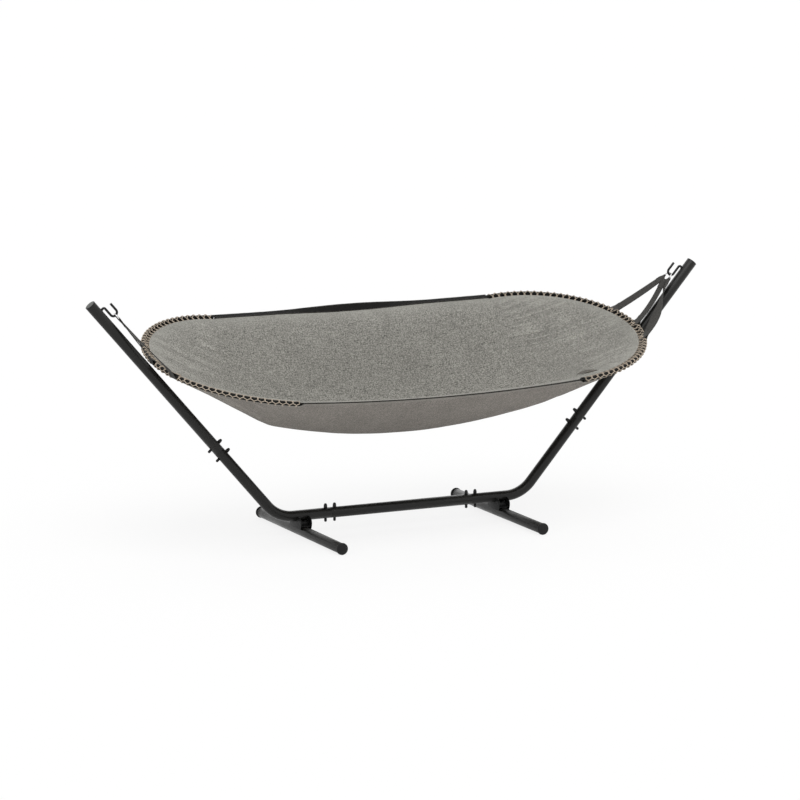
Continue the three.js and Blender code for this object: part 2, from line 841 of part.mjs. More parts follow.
// How far a place of the rim belongs to a side band, not to a bow
function bandBelonging(x) {
  return THREE.MathUtils.smoothstep((bowCentre - Math.abs(x)) / hemBlend, 0, 1);
}

// Stations round the rim, each with its outward way in plan and how far it belongs to a side band
function rimStations() {
  const stations = [];
  for (const side of [1, -1]) {
    for (let i = 0; i < bowStations; i++) {
      const angle = (i / bowStations - 0.5) * Math.PI;
      const x = side * (bowCentre + bowRadius * Math.cos(angle));
      const y = side * bowRadius * Math.sin(angle);
      stations.push({ x, y, outX: side * Math.cos(angle), outY: side * Math.sin(angle), band: 0 });
    }
    for (let i = 0; i < sideStations; i++) {
      const x = side * bowCentre * (1 - (2 * i) / sideStations);
      stations.push({ x, y: side * rimHalfWidth(x), outX: 0, outY: side, band: bandBelonging(x) });
    }
  }
  return stations;
}

// A cloth layer as a closed sheet: rings of points from its hem to the bed's middle line
function clothLayer({ hemOut, hemDown, bandOut, bandDown, middleDepth, foldDepth, profile }) {
  const stations = rimStations();
  const rows = ringShares.length;
  const positions = [];
  const half = clothThickness / 2;
  for (const face of [1, -1])
    for (const share of ringShares)
      for (const s of stations) {
        const out = THREE.MathUtils.lerp(hemOut, bandOut, s.band);
        const down = THREE.MathUtils.lerp(hemDown, bandDown, s.band);
        const spine = THREE.MathUtils.clamp(s.x, -bowCentre, bowCentre);
        const x = spine + share * (s.x + s.outX * out - spine);
        const y = share * (s.y + s.outY * out);
        const z = rimLift(x) - down * share ** hemPower + face * half;
        const drop = layerDrop(spine + share * (s.x - spine), share * s.y, middleDepth, foldDepth, profile);
        positions.push(x, y + rimMiddle.y, z - drop + rimMiddle.z);
      }
  const at = (face, row, i) => (face * rows + row) * stations.length + (i % stations.length);
  const index = [];
  for (let i = 0; i < stations.length; i++) {
    for (let row = 0; row < rows - 1; row++) {
      const [a, b, c, d] = [at(0, row, i), at(0, row, i + 1), at(0, row + 1, i + 1), at(0, row + 1, i)];
      index.push(a, b, c, a, c, d);
      const [e, f, g, h] = [at(1, row, i), at(1, row, i + 1), at(1, row + 1, i + 1), at(1, row + 1, i)];
      index.push(e, g, f, e, h, g);
    }
    index.push(at(1, 0, i), at(1, 0, i + 1), at(0, 0, i + 1), at(1, 0, i), at(0, 0, i + 1), at(0, 0, i));
  }
  const sheet = new THREE.BufferGeometry();
  sheet.setAttribute("position", new THREE.Float32BufferAttribute(positions, 3));
  sheet.setIndex(index);
  return withoutSlivers(sheet);
}

// Merges the points that meet on the middle line and drops the faces that closed up there
function withoutSlivers(geometry) {
  const merged = mergeVertices(geometry, weldGap);
  const kept = [];
  const index = merged.index.array;
  for (let i = 0; i < index.length; i += 3) {
    const [a, b, c] = [index[i], index[i + 1], index[i + 2]];
    if (a !== b && b !== c && c !== a) kept.push(a, b, c);
  }
  merged.setIndex(kept);
  return merged;
}

const bandSin = Math.sin(THREE.MathUtils.degToRad(bandLean));
const bandCos = Math.cos(THREE.MathUtils.degToRad(bandLean));

function makeLayers() {
  const hemDrop = (bandWidth / 2) * bandSin + clothThickness / 2;
  const inner = clothLayer({
    hemOut: -(laceReach + hemGap),
    hemDown: 0,
    bandOut: -(laceReach + hemGap),
    bandDown: hemDrop,
    middleDepth: innerDepth,
    foldDepth: innerFoldDepth,
    profile: innerProfile,
  });
  add(bedGroup, "inner_panel", inner, innerCloth());
  const outer = clothLayer({
    hemOut: 0,
    hemDown: laceReach + hemGap + clothThickness / 2,
    bandOut: 0,
    bandDown: (bandThickness + clothThickness) / 2 + bandGap - bandLift,
    middleDepth: outerDepth,
    foldDepth: outerFoldDepth,
    profile: outerProfile,
  });
  add(bedGroup, "outer_skin", outer, outerCloth());
}

// A side band: webbing from bow to bow over the cloth's hems, its outer edge up
function makeSideBand(side, label, leanReach, leanShape) {
  const endLean = bowEndSlope * (bandLift + bandThickness / 2);
  const reach = bowCentre - seatGap - endLean;
  const half = bandWidth / 2;
  const sections = [];
  for (let i = 0; i <= bandSteps; i++) {
    const x = -side * reach * (1 - (2 * i) / bandSteps);
    const leanShare = Math.max(1 - (x / leanReach) ** 2, 0) ** leanShape;
    const middle = side * rimHalfWidth(x) + rimMiddle.y;
    const height = rimLift(x) + bandLift + rimMiddle.z;
    const corner = (u, v) =>
      new THREE.Vector3(
        x,
        middle + side * u * half * bandCos,
        height + u * half * bandSin * leanShare + (v * bandThickness) / 2,
      );
    sections.push([corner(-1, -1), corner(1, -1), corner(1, 1), corner(-1, 1)]);
  }
  add(bedGroup, label, loft(sections), darkWebbing());
}

// A sewn tag on the inner layer, laid on the cloth's own surface
function makeTag() {
  const cloth = new THREE.Mesh(bedGroup.getObjectByName("inner_panel").geometry);
  const ray = new THREE.Raycaster();
  const down = new THREE.Vector3(0, 0, -1);
  const radius = bowRadius - tagInset;
  const sections = [1, 0, -1].map((step) => {
    const angle = THREE.MathUtils.degToRad(tagTurn) + (step * tagLength) / 2 / radius;
    const [inner, outer] = [-1, 1].map((edge) => {
      const reach = radius + (edge * tagWidth) / 2;
      const point = bowPoint(1, angle);
      point.x = bowCentre + reach * Math.cos(angle);
      point.y = reach * Math.sin(angle) + rimMiddle.y;
      ray.set(new THREE.Vector3(point.x, point.y, 0), down);
      point.z = ray.intersectObject(cloth)[0].point.z + tagGap;
      return point;
    });
    const raised = [outer, inner].map((point) => point.clone().setZ(point.z + tagThickness));
    return [inner, outer, ...raised];
  });
  add(bedGroup, "leather_tag", loft(sections), leather());
}

for (const [side, label] of [[-1, "left"], [1, "right"]]) {
  makePosts(side, label);
  makeElbow(side, label);
  makeFoot(side, label);
  makeSaddle(side, label);
  makeFootBolt(side, label);
  makeHook(side, label);
  makeBow(side, label);
  makeLacing(side, label);
  makeRing(side, label);
  for (const [step, place] of [[-1, "near"], [0, "middle"], [1, "far"]]) {
    const turnedOver = side > 0 && step < 0; // one strap was hung with half a twist in it
    makeStrap(side, step, `${label}_strap_${place}`, turnedOver ? Math.PI : 0);
  }
}
makeRail();
makeJointFasteners();
makeLayers();
makeSideBand(-1, "near_side_band", bowCentre, nearLeanShape);
makeSideBand(1, "far_side_band", bowCentre * farLeanShare, farLeanShape);
makeTag();

bedGroup.position.z = hookCentre.z;
bedGroup.rotation.x = THREE.MathUtils.degToRad(restRoll);

const hammock = new THREE.Group();
hammock.add(standGroup, bedGroup);

// The origin is under the middle of the whole, and the bed leans out further on one side
const extent = new THREE.Box3().setFromObject(hammock, true);
for (const group of [standGroup, bedGroup]) group.position.y = -(extent.min.y + extent.max.y) / 2;

export default hammock;
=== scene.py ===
"""Hammock on a tubular steel stand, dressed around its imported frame. Metres, X along the rail."""
import math

import bmesh
import bpy
from bpy.props import FloatProperty, FloatVectorProperty, IntProperty, PointerProperty
from mathutils import Matrix, Vector, noise


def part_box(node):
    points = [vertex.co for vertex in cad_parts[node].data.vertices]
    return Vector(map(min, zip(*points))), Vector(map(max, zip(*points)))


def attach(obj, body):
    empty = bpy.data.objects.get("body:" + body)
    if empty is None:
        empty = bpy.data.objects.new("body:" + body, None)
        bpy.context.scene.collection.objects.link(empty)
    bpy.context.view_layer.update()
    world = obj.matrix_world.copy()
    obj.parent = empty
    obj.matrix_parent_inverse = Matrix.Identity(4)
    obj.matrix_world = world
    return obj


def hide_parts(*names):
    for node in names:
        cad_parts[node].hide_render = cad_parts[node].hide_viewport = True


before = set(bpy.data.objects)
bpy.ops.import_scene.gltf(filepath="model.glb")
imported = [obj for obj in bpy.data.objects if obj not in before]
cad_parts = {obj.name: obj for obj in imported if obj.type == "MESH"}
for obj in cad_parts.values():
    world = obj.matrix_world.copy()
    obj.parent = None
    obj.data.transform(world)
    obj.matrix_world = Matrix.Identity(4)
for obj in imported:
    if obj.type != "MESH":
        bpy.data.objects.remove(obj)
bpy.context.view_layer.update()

bl_info = {
    "name": "Hammock with Stand",
    "version": (1, 0, 0),
    "blender": (4, 5, 0),
    "location": "View3D > Sidebar > Hammock",
    "description": "Builds a laced cloth hammock and its steel stand around the packed frame",
    "category": "Object",
}

SIDES = ((-1, "left"), (1, "right"))
UP = Vector((0, 0, 1))
ALONG = Vector((1, 0, 0))
ACROSS = Vector((0, 1, 0))

# Places on the stand
rail_low, rail_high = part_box("centre_rail")
PLANE_Y = (rail_low.y + rail_high.y) / 2
RAIL_HEIGHT = (rail_low.z + rail_high.z) / 2
CORNER_REACH = 0.6305  # from the middle to where the rail's line meets a post's line
POST_SLOPE = math.radians(49.2)
POST_LENGTH = 1.395  # from that corner to the open top
POST_JOINT = 0.447  # from the corner to the seam in a post
RAIL_JOINT = 0.364  # from the middle to the seam at each end of the rail
SEAM = 0.0003
POST_BOLT_PITCH = 0.060
RAIL_BOLT_PITCH = 0.046
FOOT_REACH = 0.512
FOOT_HEIGHT = 0.028
FOOT_HALF = 0.458
FOOT_CAP = 0.012
SADDLE_WIDTH = 0.130
SADDLE_WAIST = 0.112
SADDLE_SPREAD = 0.056
SADDLE_SKIRT = 0.011
PLATE = 0.0027  # thickness of a saddle's side plates
WEB = 0.004  # thickness of the web between them
HOOK_START = 0.054
HOOK_LEG = 0.041
HOOK_GAP = 0.034
HOOK_BOTTOM = 0.120
HOOK_TIP = 0.063
RING_RADIUS = 0.022
RING_WIRE = 0.006

# The bed's rim, measured from the hooks' line with the bed level
BED_DROP = 0.2644
BED_SHIFT = 0.0249
BOW_RADIUS = 0.519
BOW_RISE = 0.039
RISE_SHARE = 1.57
TIP_INSET = 0.1827
SIDE_BULGE = 0.027
SIDE_SAG = 0.016
FOLD_INSET = 0.053
STRAP_SPACING = 0.180
STRAP_SHIFT = -0.020
RING_STEP = math.radians(58)
LACE_ZONE = 0.064
LACE_END = 0.007
SEWN_LEAN = 0.0068  # how far the inner layer's edge sinks with a band that leans fully
BAND_THICKNESS = 0.0022
INNER_HEM = 0.0255  # from the bow's line in to the inner layer's hem
HEM_RISE = 0.0009  # how far the doubled hem stands above the cloth
BAND_TILT = math.radians(22)  # of a side band that leans fully
STRAP_TAILS = (0.052, 0.046)  # how far a strap's two ends reach back from the bow and from the ring

# One turn of the lacing: share of the turn, share of its pitch, degrees round the bow from its
# outer side, and the distance from the bow's line that the cord reaches where it passes an eyelet
LACE_TURN = (
    (0.00, 0.00, 27, 0),
    (0.14, 0.10, 95, 0),
    (0.40, 0.50, 162, 0.006),
    (0.52, 0.62, 181, INNER_HEM + 0.004),
    (0.62, 0.57, 250, 0),
    (0.80, 0.50, 350, 0),
    (1.00, 1.00, 387, 0),
)
LACE_OVER_STRAP = (
    (0.00, 0.00, 27, 0),
    (0.08, 0.05, 95, 0),
    (0.20, 0.25, 162, 0.006),
    (0.26, 0.31, 181, INNER_HEM + 0.004),
    (0.42, 0.56, 100, 0),
    (0.58, 0.69, 181, INNER_HEM + 0.004),
    (0.72, 0.86, 250, 0),
    (0.84, 0.87, 350, 0),
    (1.00, 1.00, 387, 0),
)


# Sizes and colours that a user may change


def length(name, description, default):
    return FloatProperty(
        name=name, description=description, default=default, min=0.0001, unit="LENGTH", precision=4
    )


def colour(name, description, default):
    return FloatVectorProperty(
        name=name, description=description, default=default, size=3, min=0, max=1, subtype="COLOR"
    )


class HAMMOCK_PG_stand(bpy.types.PropertyGroup):
    """Sizes of the stand"""

    tube: length("Tube", "Diameter of the stand's tubes", 0.050)
    wall: length("Wall", "Thickness of the tubes' walls", 0.002)
    elbow: length("Elbow", "Radius of the bend between rail and post", 0.170)
    hook: length("Hook", "Diameter of the hooks' bar", 0.0112)
    bolt_head: length("Bolt head", "Diameter of the bolts' heads", 0.0182)
    bolt_rise: length("Bolt rise", "Height of the bolts' heads", 0.0205)
    nut: length("Cap nut", "Diameter of the cap nuts", 0.0132)
    sides: IntProperty(
        name="Sides", description="Facets round each tube", default=64, min=12, max=128
    )


class HAMMOCK_PG_bed(bpy.types.PropertyGroup):
    """Sizes of the bed"""

    roll: FloatProperty(
        name="Roll",
        description="Tilt of the hanging bed towards its near side",
        default=math.radians(13.84),
        unit="ROTATION",
    )
    bow: length("Bow", "Diameter of the bow bars", 0.019)
    cord: length("Cord", "Diameter of the lacing cord", 0.0035)
    pitch: length("Lacing pitch", "Distance between crossings of the lacing", 0.0328)
    cloth: length("Cloth", "Thickness of the cloth", 0.0014)
    hem: length("Hem", "Width of the turned hem", 0.019)
    depth: length("Depth", "Depth of the inner layer under the rim", 0.362)
    strap: length("Strap", "Width of the straps", 0.040)
    strap_thickness: length("Strap thickness", "Thickness of the straps", 0.0018)
    band: length("Band", "Width of the side bands", 0.048)
    crease: length("Crease", "Height of the pulled creases in the cloth", 0.0035)
    thread: length("Thread", "Pitch of the cloth's threads", 0.0016)


class HAMMOCK_PG_finish(bpy.types.PropertyGroup):
    """Colours of the finishes"""

    steel: colour("Powder coat", "Coating of the tubes and bows", (0.0118, 0.0116, 0.0106))
    plastic: colour("Plastic", "Caps, plugs and saddles", (0.0075, 0.0075, 0.0075))
    # A lighter grey on the top faces of the posts' plugs.
    scuffed: colour("Scuffed plastic", "Faces of the posts' plugs", (0.115, 0.118, 0.112))
    fittings: colour("Fittings", "Hooks, bolts and nuts", (0.0090, 0.0090, 0.0090))
    zinc: colour("Zinc", "Sleeves and inserts inside the tubes", (0.42, 0.43, 0.44))
    ring: colour("Ring", "Polished rings", (0.66, 0.66, 0.66))
    inner: colour("Inner cloth", "The layer that is lain on", (0.305, 0.300, 0.272))
    # Darker than the inner cloth as painted shade, for the layer underneath that hangs in shadow.
    outer: colour("Outer cloth", "The layer underneath", (0.252, 0.241, 0.217))
    strap: colour("Straps", "Hanging straps", (0.062, 0.060, 0.056))
    band: colour("Bands", "Webbing along both sides", (0.0125, 0.0120, 0.0112))
    cord: colour("Cord", "Lacing cord", (0.520, 0.440, 0.350))
    leather: colour("Leather", "Sewn tag", (0.046, 0.036, 0.020))
    thread: colour("Thread", "Sewing thread", (0.30, 0.28, 0.24))


def stand():
    return bpy.context.scene.hammock_stand


def bed():
    return bpy.context.scene.hammock_bed


def finishes():
    return bpy.context.scene.hammock_finish


# Places along the stand


def post_way():
    """The post's own way upwards, on the right side."""
    return Vector((math.cos(POST_SLOPE), 0, math.sin(POST_SLOPE)))


def mirrored(vector, side):
    return Vector((side * vector.x, vector.y, vector.z))


def post_up(side):
    return mirrored(post_way(), side)


def post_inward(side):
    return Vector((-side * math.sin(POST_SLOPE), 0, math.cos(POST_SLOPE)))


def post_point(side, down, inward=0.0):
    """A point of a post's line: distance down from its top and inward from its axis."""
    corner = Vector((side * CORNER_REACH, PLANE_Y, RAIL_HEIGHT))
    return corner + post_up(side) * (POST_LENGTH - down) + post_inward(side) * inward


def placed(origin, x_axis, z_axis):
    """The matrix that puts a piece made along Z at a place, its X along x_axis."""
    y_axis = z_axis.cross(x_axis).normalized()
    turn = Matrix((x_axis, y_axis, z_axis)).transposed().to_4x4()
    return Matrix.Translation(origin) @ turn


HOOK_CENTRE = post_point(1, HOOK_BOTTOM, HOOK_LEG + HOOK_GAP / 2)
BOW_CENTRE = HOOK_CENTRE.x - TIP_INSET - BOW_RADIUS
FOLD_REACH = BOW_CENTRE - FOLD_INSET
RIM_MIDDLE = Vector((0, -BED_SHIFT, -BED_DROP))


def bed_matrix():
    """Takes a place measured from the hooks' line, bed level, to where the bed hangs."""
    return Matrix.Translation((0, PLANE_Y, HOOK_CENTRE.z)) @ Matrix.Rotation(bed().roll, 4, "X")


# Modelling tools


def rings_of(verts):
    """The edges that join the given vertices to each other."""
    chosen = set(verts)
    return list({e for v in verts for e in v.link_edges if set(e.verts) <= chosen})


def soften(bm, width, segments=2, limit=math.radians(32)):
    """Rounds the sharp edges."""
    sharp = [e for e in bm.edges if len(e.link_faces) == 2 and e.calc_face_angle() > limit]
    bmesh.ops.bevel(
        bm, geom=sharp, offset=width, offset_type="OFFSET", affect="EDGES", segments=segments,
        profile=0.5, material=-1, clamp_overlap=True,
    )


class Bar:
    """A round bar or tube that grows from a first ring by straight runs and bends."""

    def __init__(self, start, way, radius, sides):
        self.bm = bmesh.new()
        self.at = start.copy()
        self.way = way.normalized()
        turn = UP.rotation_difference(self.way).to_matrix().to_4x4()
        place = Matrix.Translation(start) @ turn
        made = bmesh.ops.create_circle(self.bm, segments=sides, radius=radius, matrix=place)
        self.ring = made["verts"]
        self.ends = [list(self.ring)]

    def run(self, distance):
        grown = bmesh.ops.extrude_edge_only(self.bm, edges=rings_of(self.ring))["geom"]
        self.ring = [g for g in grown if isinstance(g, bmesh.types.BMVert)]
        bmesh.ops.translate(self.bm, vec=self.way * distance, verts=self.ring)
        self.at += self.way * distance
        return self

    def turn_to(self, way, radius, steps):
        way = way.normalized()
        axis = self.way.cross(way).normalized()
        angle = self.way.angle(way)
        centre = self.at + axis.cross(self.way) * radius
        geom = self.ring + rings_of(self.ring)
        made = bmesh.ops.spin(self.bm, geom=geom, cent=centre, axis=axis, angle=angle, steps=steps)
        self.ring = [g for g in made["geom_last"] if isinstance(g, bmesh.types.BMVert)]
        self.at = centre + Matrix.Rotation(angle, 3, axis) @ (self.at - centre)
        self.way = way
        return self

    def closed(self, rounding):
        """Fills both ends and rounds their rims."""
        self.ends.append(list(self.ring))
        for end in self.ends:
            bmesh.ops.contextual_create(self.bm, geom=rings_of(end))
        bmesh.ops.recalc_face_normals(self.bm, faces=self.bm.faces)
        soften(self.bm, rounding, segments=3, limit=math.radians(50))
        return self.bm


def spun(bm, sides):
    """Turns the outline that a bmesh holds once round Z and closes the surface."""
    geom = list(bm.verts) + list(bm.edges)
    bmesh.ops.spin(
        bm, geom=geom, cent=(0, 0, 0), axis=UP, angle=2 * math.pi, steps=sides, use_merge=True
    )
    bmesh.ops.remove_doubles(bm, verts=bm.verts, dist=1e-6)
    bmesh.ops.recalc_face_normals(bm, faces=bm.faces)
    return bm


def turned(profile, sides, rounding):
    """A solid turned about Z from pairs of radius and height, with rounded edges."""
    bm = bmesh.new()
    line = [bm.verts.new((radius, 0, height)) for radius, height in profile]
    for pair in zip(line, line[1:]):
        bm.edges.new(pair)
    soften(spun(bm, sides), rounding)
    return bm


def wire_loop(radius, wire, facets, sides):
    """A closed round of wire about Z."""
    bm = bmesh.new()
    place = Matrix.Translation((radius, 0, 0)) @ Matrix.Rotation(math.pi / 2, 4, "X")
    bmesh.ops.create_circle(bm, segments=facets, radius=wire, matrix=place)
    return spun(bm, sides)


def block(bm, size, middle):
    place = Matrix.Translation(middle) @ Matrix.Diagonal((*size, 1))
    bmesh.ops.create_cube(bm, size=1, matrix=place)


def bent_grid(columns, rows, place, weld=1e-5):
    """A bent grid of faces. place(i, j) gives a corner's point and its place on the flat map."""
    bm = bmesh.new()
    uv = bm.loops.layers.uv.new("UVMap")
    bmesh.ops.create_grid(bm, x_segments=columns, y_segments=rows, size=0.5)
    flats = {}
    for vert in bm.verts:
        i = round((vert.co.x + 0.5) * columns)
        j = round((vert.co.y + 0.5) * rows)
        vert.co, flats[vert] = place(i, j)
    for face in bm.faces:
        for loop in face.loops:
            loop[uv].uv = flats[loop.vert]
    bmesh.ops.remove_doubles(bm, verts=bm.verts, dist=weld)
    return bm


def moved_frames(points):
    """A side way at each point of a path, carried along it without twist."""
    padded = [points[0], *points, points[-1]]
    ways = [(after - before).normalized() for before, after in zip(padded, padded[2:])]
    first = ways[0].cross(UP)
    if first.length < 0.1:
        first = ways[0].cross(ALONG)
    first.normalize()
    sides = [first]
    for before, after in zip(ways, ways[1:]):
        turn = before.rotation_difference(after)
        sides.append((turn @ sides[-1]).normalized())
    return ways, sides


def running_lengths(points):
    """The length of a path up to each of its points."""
    run = [0.0]
    for before, after in zip(points, points[1:]):
        run.append(run[-1] + (after - before).length)
    return run


def cord_along(points, radius, facets):
    """A round cord or bar along a path, its UV map running round and along it in metres."""
    ways, sides = moved_frames(points)
    run = running_lengths(points)

    def place(i, j):
        angle = 2 * math.pi * i / facets
        across = ways[j].cross(sides[j])
        out = sides[j] * math.cos(angle) + across * math.sin(angle)
        return points[j] + out * radius, (radius * angle, run[j])

    bm = bent_grid(facets, len(points) - 1, place)
    rims = [e for e in bm.edges if len(e.link_faces) == 1]
    bmesh.ops.holes_fill(bm, edges=rims, sides=0)
    bmesh.ops.recalc_face_normals(bm, faces=bm.faces)
    return bm


def shown(bm, name, material):
    """Puts a bmesh into the scene as an object at the origin."""
    mesh = bpy.data.meshes.new(name)
    bm.to_mesh(mesh)
    bm.free()
    made = bpy.data.objects.new(name, mesh)
    bpy.context.scene.collection.objects.link(made)
    mesh.materials.append(material)
    return made


def piece(bm, name, body, look, node=None, crease=math.radians(38)):
    """Turns a bmesh into a piece that moves with a body and stands for a node of the frame.

    The bed's pieces are made level and measured from the hooks' line, and are placed here.
    """
    if body == "bed":
        bm.transform(bed_matrix())
    for face in bm.faces:
        face.smooth = True
    for edge in bm.edges:
        edge.smooth = len(edge.link_faces) != 2 or edge.calc_face_angle() < crease
    made = shown(bm, name, finish(look))
    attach(made, body)
    if node:
        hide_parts(node)
    return made


def thicken(made, thickness, offset):
    """Gives a surface a wall, on both sides of it at offset 0, behind it at -1."""
    wall = made.modifiers.new("wall", "SOLIDIFY")
    wall.thickness = thickness
    wall.offset = offset
    wall.use_even_offset = True


def round_rim(made, limit):
    """Rounds a wall's edges that are sharper than a limit."""
    rim = made.modifiers.new("rim", "BEVEL")
    rim.width = 0.0004
    rim.segments = 2
    rim.limit_method = "ANGLE"
    rim.angle_limit = limit


# Shader tools


class Nodes:
    """Short ways to add nodes to a tree and join them."""

    def __init__(self, tree):
        self.tree = tree

    def add(self, kind, inputs=None, **settings):
        made = self.tree.nodes.new(kind)
        for name, value in settings.items():
            setattr(made, name, value)
        return self.feed(made, inputs or {})

    def feed(self, node, values):
        for name, value in values.items():
            if isinstance(value, bpy.types.NodeSocket):
                self.tree.links.new(value, node.inputs[name])
            else:
                node.inputs[name].default_value = value
        return node

    def math(self, operation, first, second=0.0, clamp=False):
        inputs = {0: first, 1: second}
        return self.add("ShaderNodeMath", inputs, operation=operation, use_clamp=clamp).outputs[0]

    def times(self, first, *others):
        for other in others:
            first = self.math("MULTIPLY", first, other)
        return first

    def plus(self, first, second):
        return self.math("ADD", first, second)

    def minus(self, first, second):
        return self.math("SUBTRACT", first, second)

    def between(self, value, low, high, to_low=0.0, to_high=1.0):
        inputs = {"Value": value, 1: low, 2: high, 3: to_low, 4: to_high}
        return self.add("ShaderNodeMapRange", inputs, interpolation_type="SMOOTHSTEP").outputs[0]

    def mix(self, factor, first, second):
        return self.add("ShaderNodeMix", {0: factor, 2: first, 3: second}).outputs[0]

    def blend(self, factor, first, second, mode="MIX"):
        made = self.add("ShaderNodeMix", data_type="RGBA", blend_type=mode)
        return self.feed(made, {0: factor, 6: first, 7: second}).outputs[2]

    def noise(self, vector, scale, detail=3.0, roughness=0.55):
        inputs = {"Vector": vector, "Scale": scale, "Detail": detail, "Roughness": roughness}
        return self.add("ShaderNodeTexNoise", inputs).outputs[0]

    def streaks(self, vector, scale, detail, roughness=0.55):
        """Noise drawn out by its own scale each way."""
        stretched = self.add("ShaderNodeMapping", {"Vector": vector, "Scale": scale}).outputs[0]
        return self.noise(stretched, 1.0, detail, roughness)

    def split(self, vector):
        return self.add("ShaderNodeSeparateXYZ", {0: vector}).outputs

    def join(self, values):
        return self.add("ShaderNodeCombineXYZ", values).outputs[0]

    def bump(self, height, distance, strength=1.0, **more):
        inputs = {"Height": height, "Distance": distance, "Strength": strength, **more}
        return self.add("ShaderNodeBump", inputs).outputs[0]

    def flat(self):
        """The piece's own flat map, in metres."""
        return self.add("ShaderNodeUVMap", uv_map="UVMap").outputs[0]

    def place(self):
        return self.add("ShaderNodeTexCoord").outputs["Object"]

    def group(self, group, vector, **values):
        made = self.add("ShaderNodeGroup", node_tree=group)
        return self.feed(made, {"Vector": vector, **values}).outputs

    def paint(self, shader, colour, roughness, normal, **more):
        """Feeds a Principled shader."""
        self.feed(shader, {"Base Color": colour, "Roughness": roughness, "Normal": normal})
        for name, value in more.items():
            shader.inputs[SHADER_INPUTS[name]].default_value = value


SHADER_INPUTS = {"shine": "Specular IOR Level", "metal": "Metallic"}


def shared_group(**values):
    """Marks the builder of a node group that is made once, from a vector and these values."""

    def mark(build):
        def get():
            name = build.__name__
            if name in bpy.data.node_groups:
                return bpy.data.node_groups[name]
            tree = bpy.data.node_groups.new(name, "ShaderNodeTree")
            sockets = tree.interface
            sockets.new_socket(name="Vector", in_out="INPUT", socket_type="NodeSocketVector")
            for label, default in values.items():
                made = sockets.new_socket(name=label, in_out="INPUT", socket_type="NodeSocketFloat")
                made.default_value = default
            nodes = Nodes(tree)
            results = build(nodes, nodes.add("NodeGroupInput").outputs)
            for label in results:
                sockets.new_socket(name=label, in_out="OUTPUT", socket_type="NodeSocketFloat")
            nodes.add("NodeGroupOutput", results)
            return tree

        return get

    return mark


@shared_group(Grain=900.0, Patches=9.0)
def fine_grain(nodes, given):
    """Two sizes of surface noise, and the dust that settles on what faces up."""
    where = given["Vector"]
    patches = nodes.noise(where, given["Patches"], 5.0, 0.65)
    facing = nodes.split(nodes.add("ShaderNodeNewGeometry").outputs["Normal"])
    speckle = nodes.between(nodes.noise(where, 160.0, 4.0, 0.7), 0.45, 0.72)
    return {
        "Height": nodes.noise(where, given["Grain"], 2.0),
        "Patches": nodes.between(patches, 0.35, 0.68),
        "Dust": nodes.times(nodes.between(facing["Z"], 0.35, 1.0), speckle),
    }


@shared_group(Threads=600.0, Slub=0.5)
def woven_threads(nodes, given):
    """A plain weave, read from a flat map in metres: its height and its threads' shades."""
    where = given["Vector"]
    inputs = {0: where, "Scale": given["Threads"]}
    at = nodes.split(nodes.add("ShaderNodeVectorMath", inputs, operation="SCALE").outputs[0])
    warp, weft = [nodes.math("SINE", nodes.times(at[axis], math.pi)) for axis in "XY"]
    above = nodes.between(nodes.times(warp, weft), -0.12, 0.12)
    relief = nodes.mix(above, nodes.math("ABSOLUTE", weft), nodes.math("ABSOLUTE", warp))
    shades = []
    for way, kept, other in ((0, "X", "Y"), (1, "Y", "X")):
        thread = nodes.times(nodes.math("FLOOR", at[kept]), 7.31)
        place = nodes.join({way: thread, 1 - way: nodes.times(at[other], 0.045), 2: 3.0 * way})
        shades.append(nodes.noise(place, 1.0, 2.0))
    thread = nodes.mix(above, shades[1], shades[0])
    long_warp = nodes.streaks(where, (340, 100, 1), 3.0, 0.6)
    long_weft = nodes.streaks(where, (100, 300, 1), 3.0, 0.6)
    slubs = nodes.times(nodes.plus(long_warp, long_weft), 0.5)
    shade = nodes.mix(given["Slub"], thread, slubs)
    return {"Height": relief, "Shade": nodes.between(shade, 0.42, 0.58)}


@shared_group()
def pulled_creases(nodes, given):
    """Thin ridges in the cloth that fan out from the bows' tips, read from a flat map in metres."""
    at = nodes.split(given["Vector"])
    ends = []
    for side, focus_x, focus_y in ((-1, 0.10, 0.20), (1, 0.20, 0.45)):
        along = nodes.times(nodes.minus(at["X"], focus_x), float(side))
        turn = nodes.math("ARCTAN2", nodes.minus(at["Y"], focus_y), along)
        level = nodes.noise(nodes.join({0: nodes.times(turn, 15.0), 2: 3.0 + side}), 1.0, 1.0)
        off_middle = nodes.math("ABSOLUTE", nodes.minus(level, 0.5))
        ridge = nodes.between(off_middle, 0.0, 0.08, 1.0, 0.0)
        out_x = nodes.minus(nodes.times(at["X"], float(side)), BOW_CENTRE)
        squares = nodes.plus(nodes.math("POWER", out_x, 2.0), nodes.math("POWER", at["Y"], 2.0))
        reach = nodes.math("SQRT", squares)
        starts = nodes.between(reach, 0.16, 0.36)
        stops = nodes.between(reach, 0.50, 0.62, 1.0, 0.0)
        patch = nodes.between(nodes.noise(given["Vector"], 4.0, 1.0), 0.34, 0.54)
        ends.append(nodes.times(ridge, starts, stops, nodes.between(out_x, -0.05, 0.10), patch))
    return {"Height": nodes.plus(*ends)}


@shared_group(Round=4.0, Along=420.0)
def braided_strands(nodes, given):
    """The strands of a round braid, read from a map that runs round and along the cord."""
    at = nodes.split(given["Vector"])
    around = nodes.times(at["X"], given["Round"])
    along = nodes.times(at["Y"], given["Along"])
    one = nodes.math("SINE", nodes.plus(around, along))
    other = nodes.math("SINE", nodes.minus(around, along))
    height = nodes.math("MAXIMUM", one, other)
    # Shade is random flecks with painted shade in the grooves between the strands.
    fleck = nodes.streaks(given["Vector"], (900, 260, 1), 2.0)
    return {
        "Height": nodes.between(height, -0.6, 1.0),
        "Shade": nodes.times(fleck, nodes.between(height, -0.7, 0.6)),
    }


# The finishes


def rgba(shade, level=1.0):
    return (shade[0] * level, shade[1] * level, shade[2] * level, 1.0)


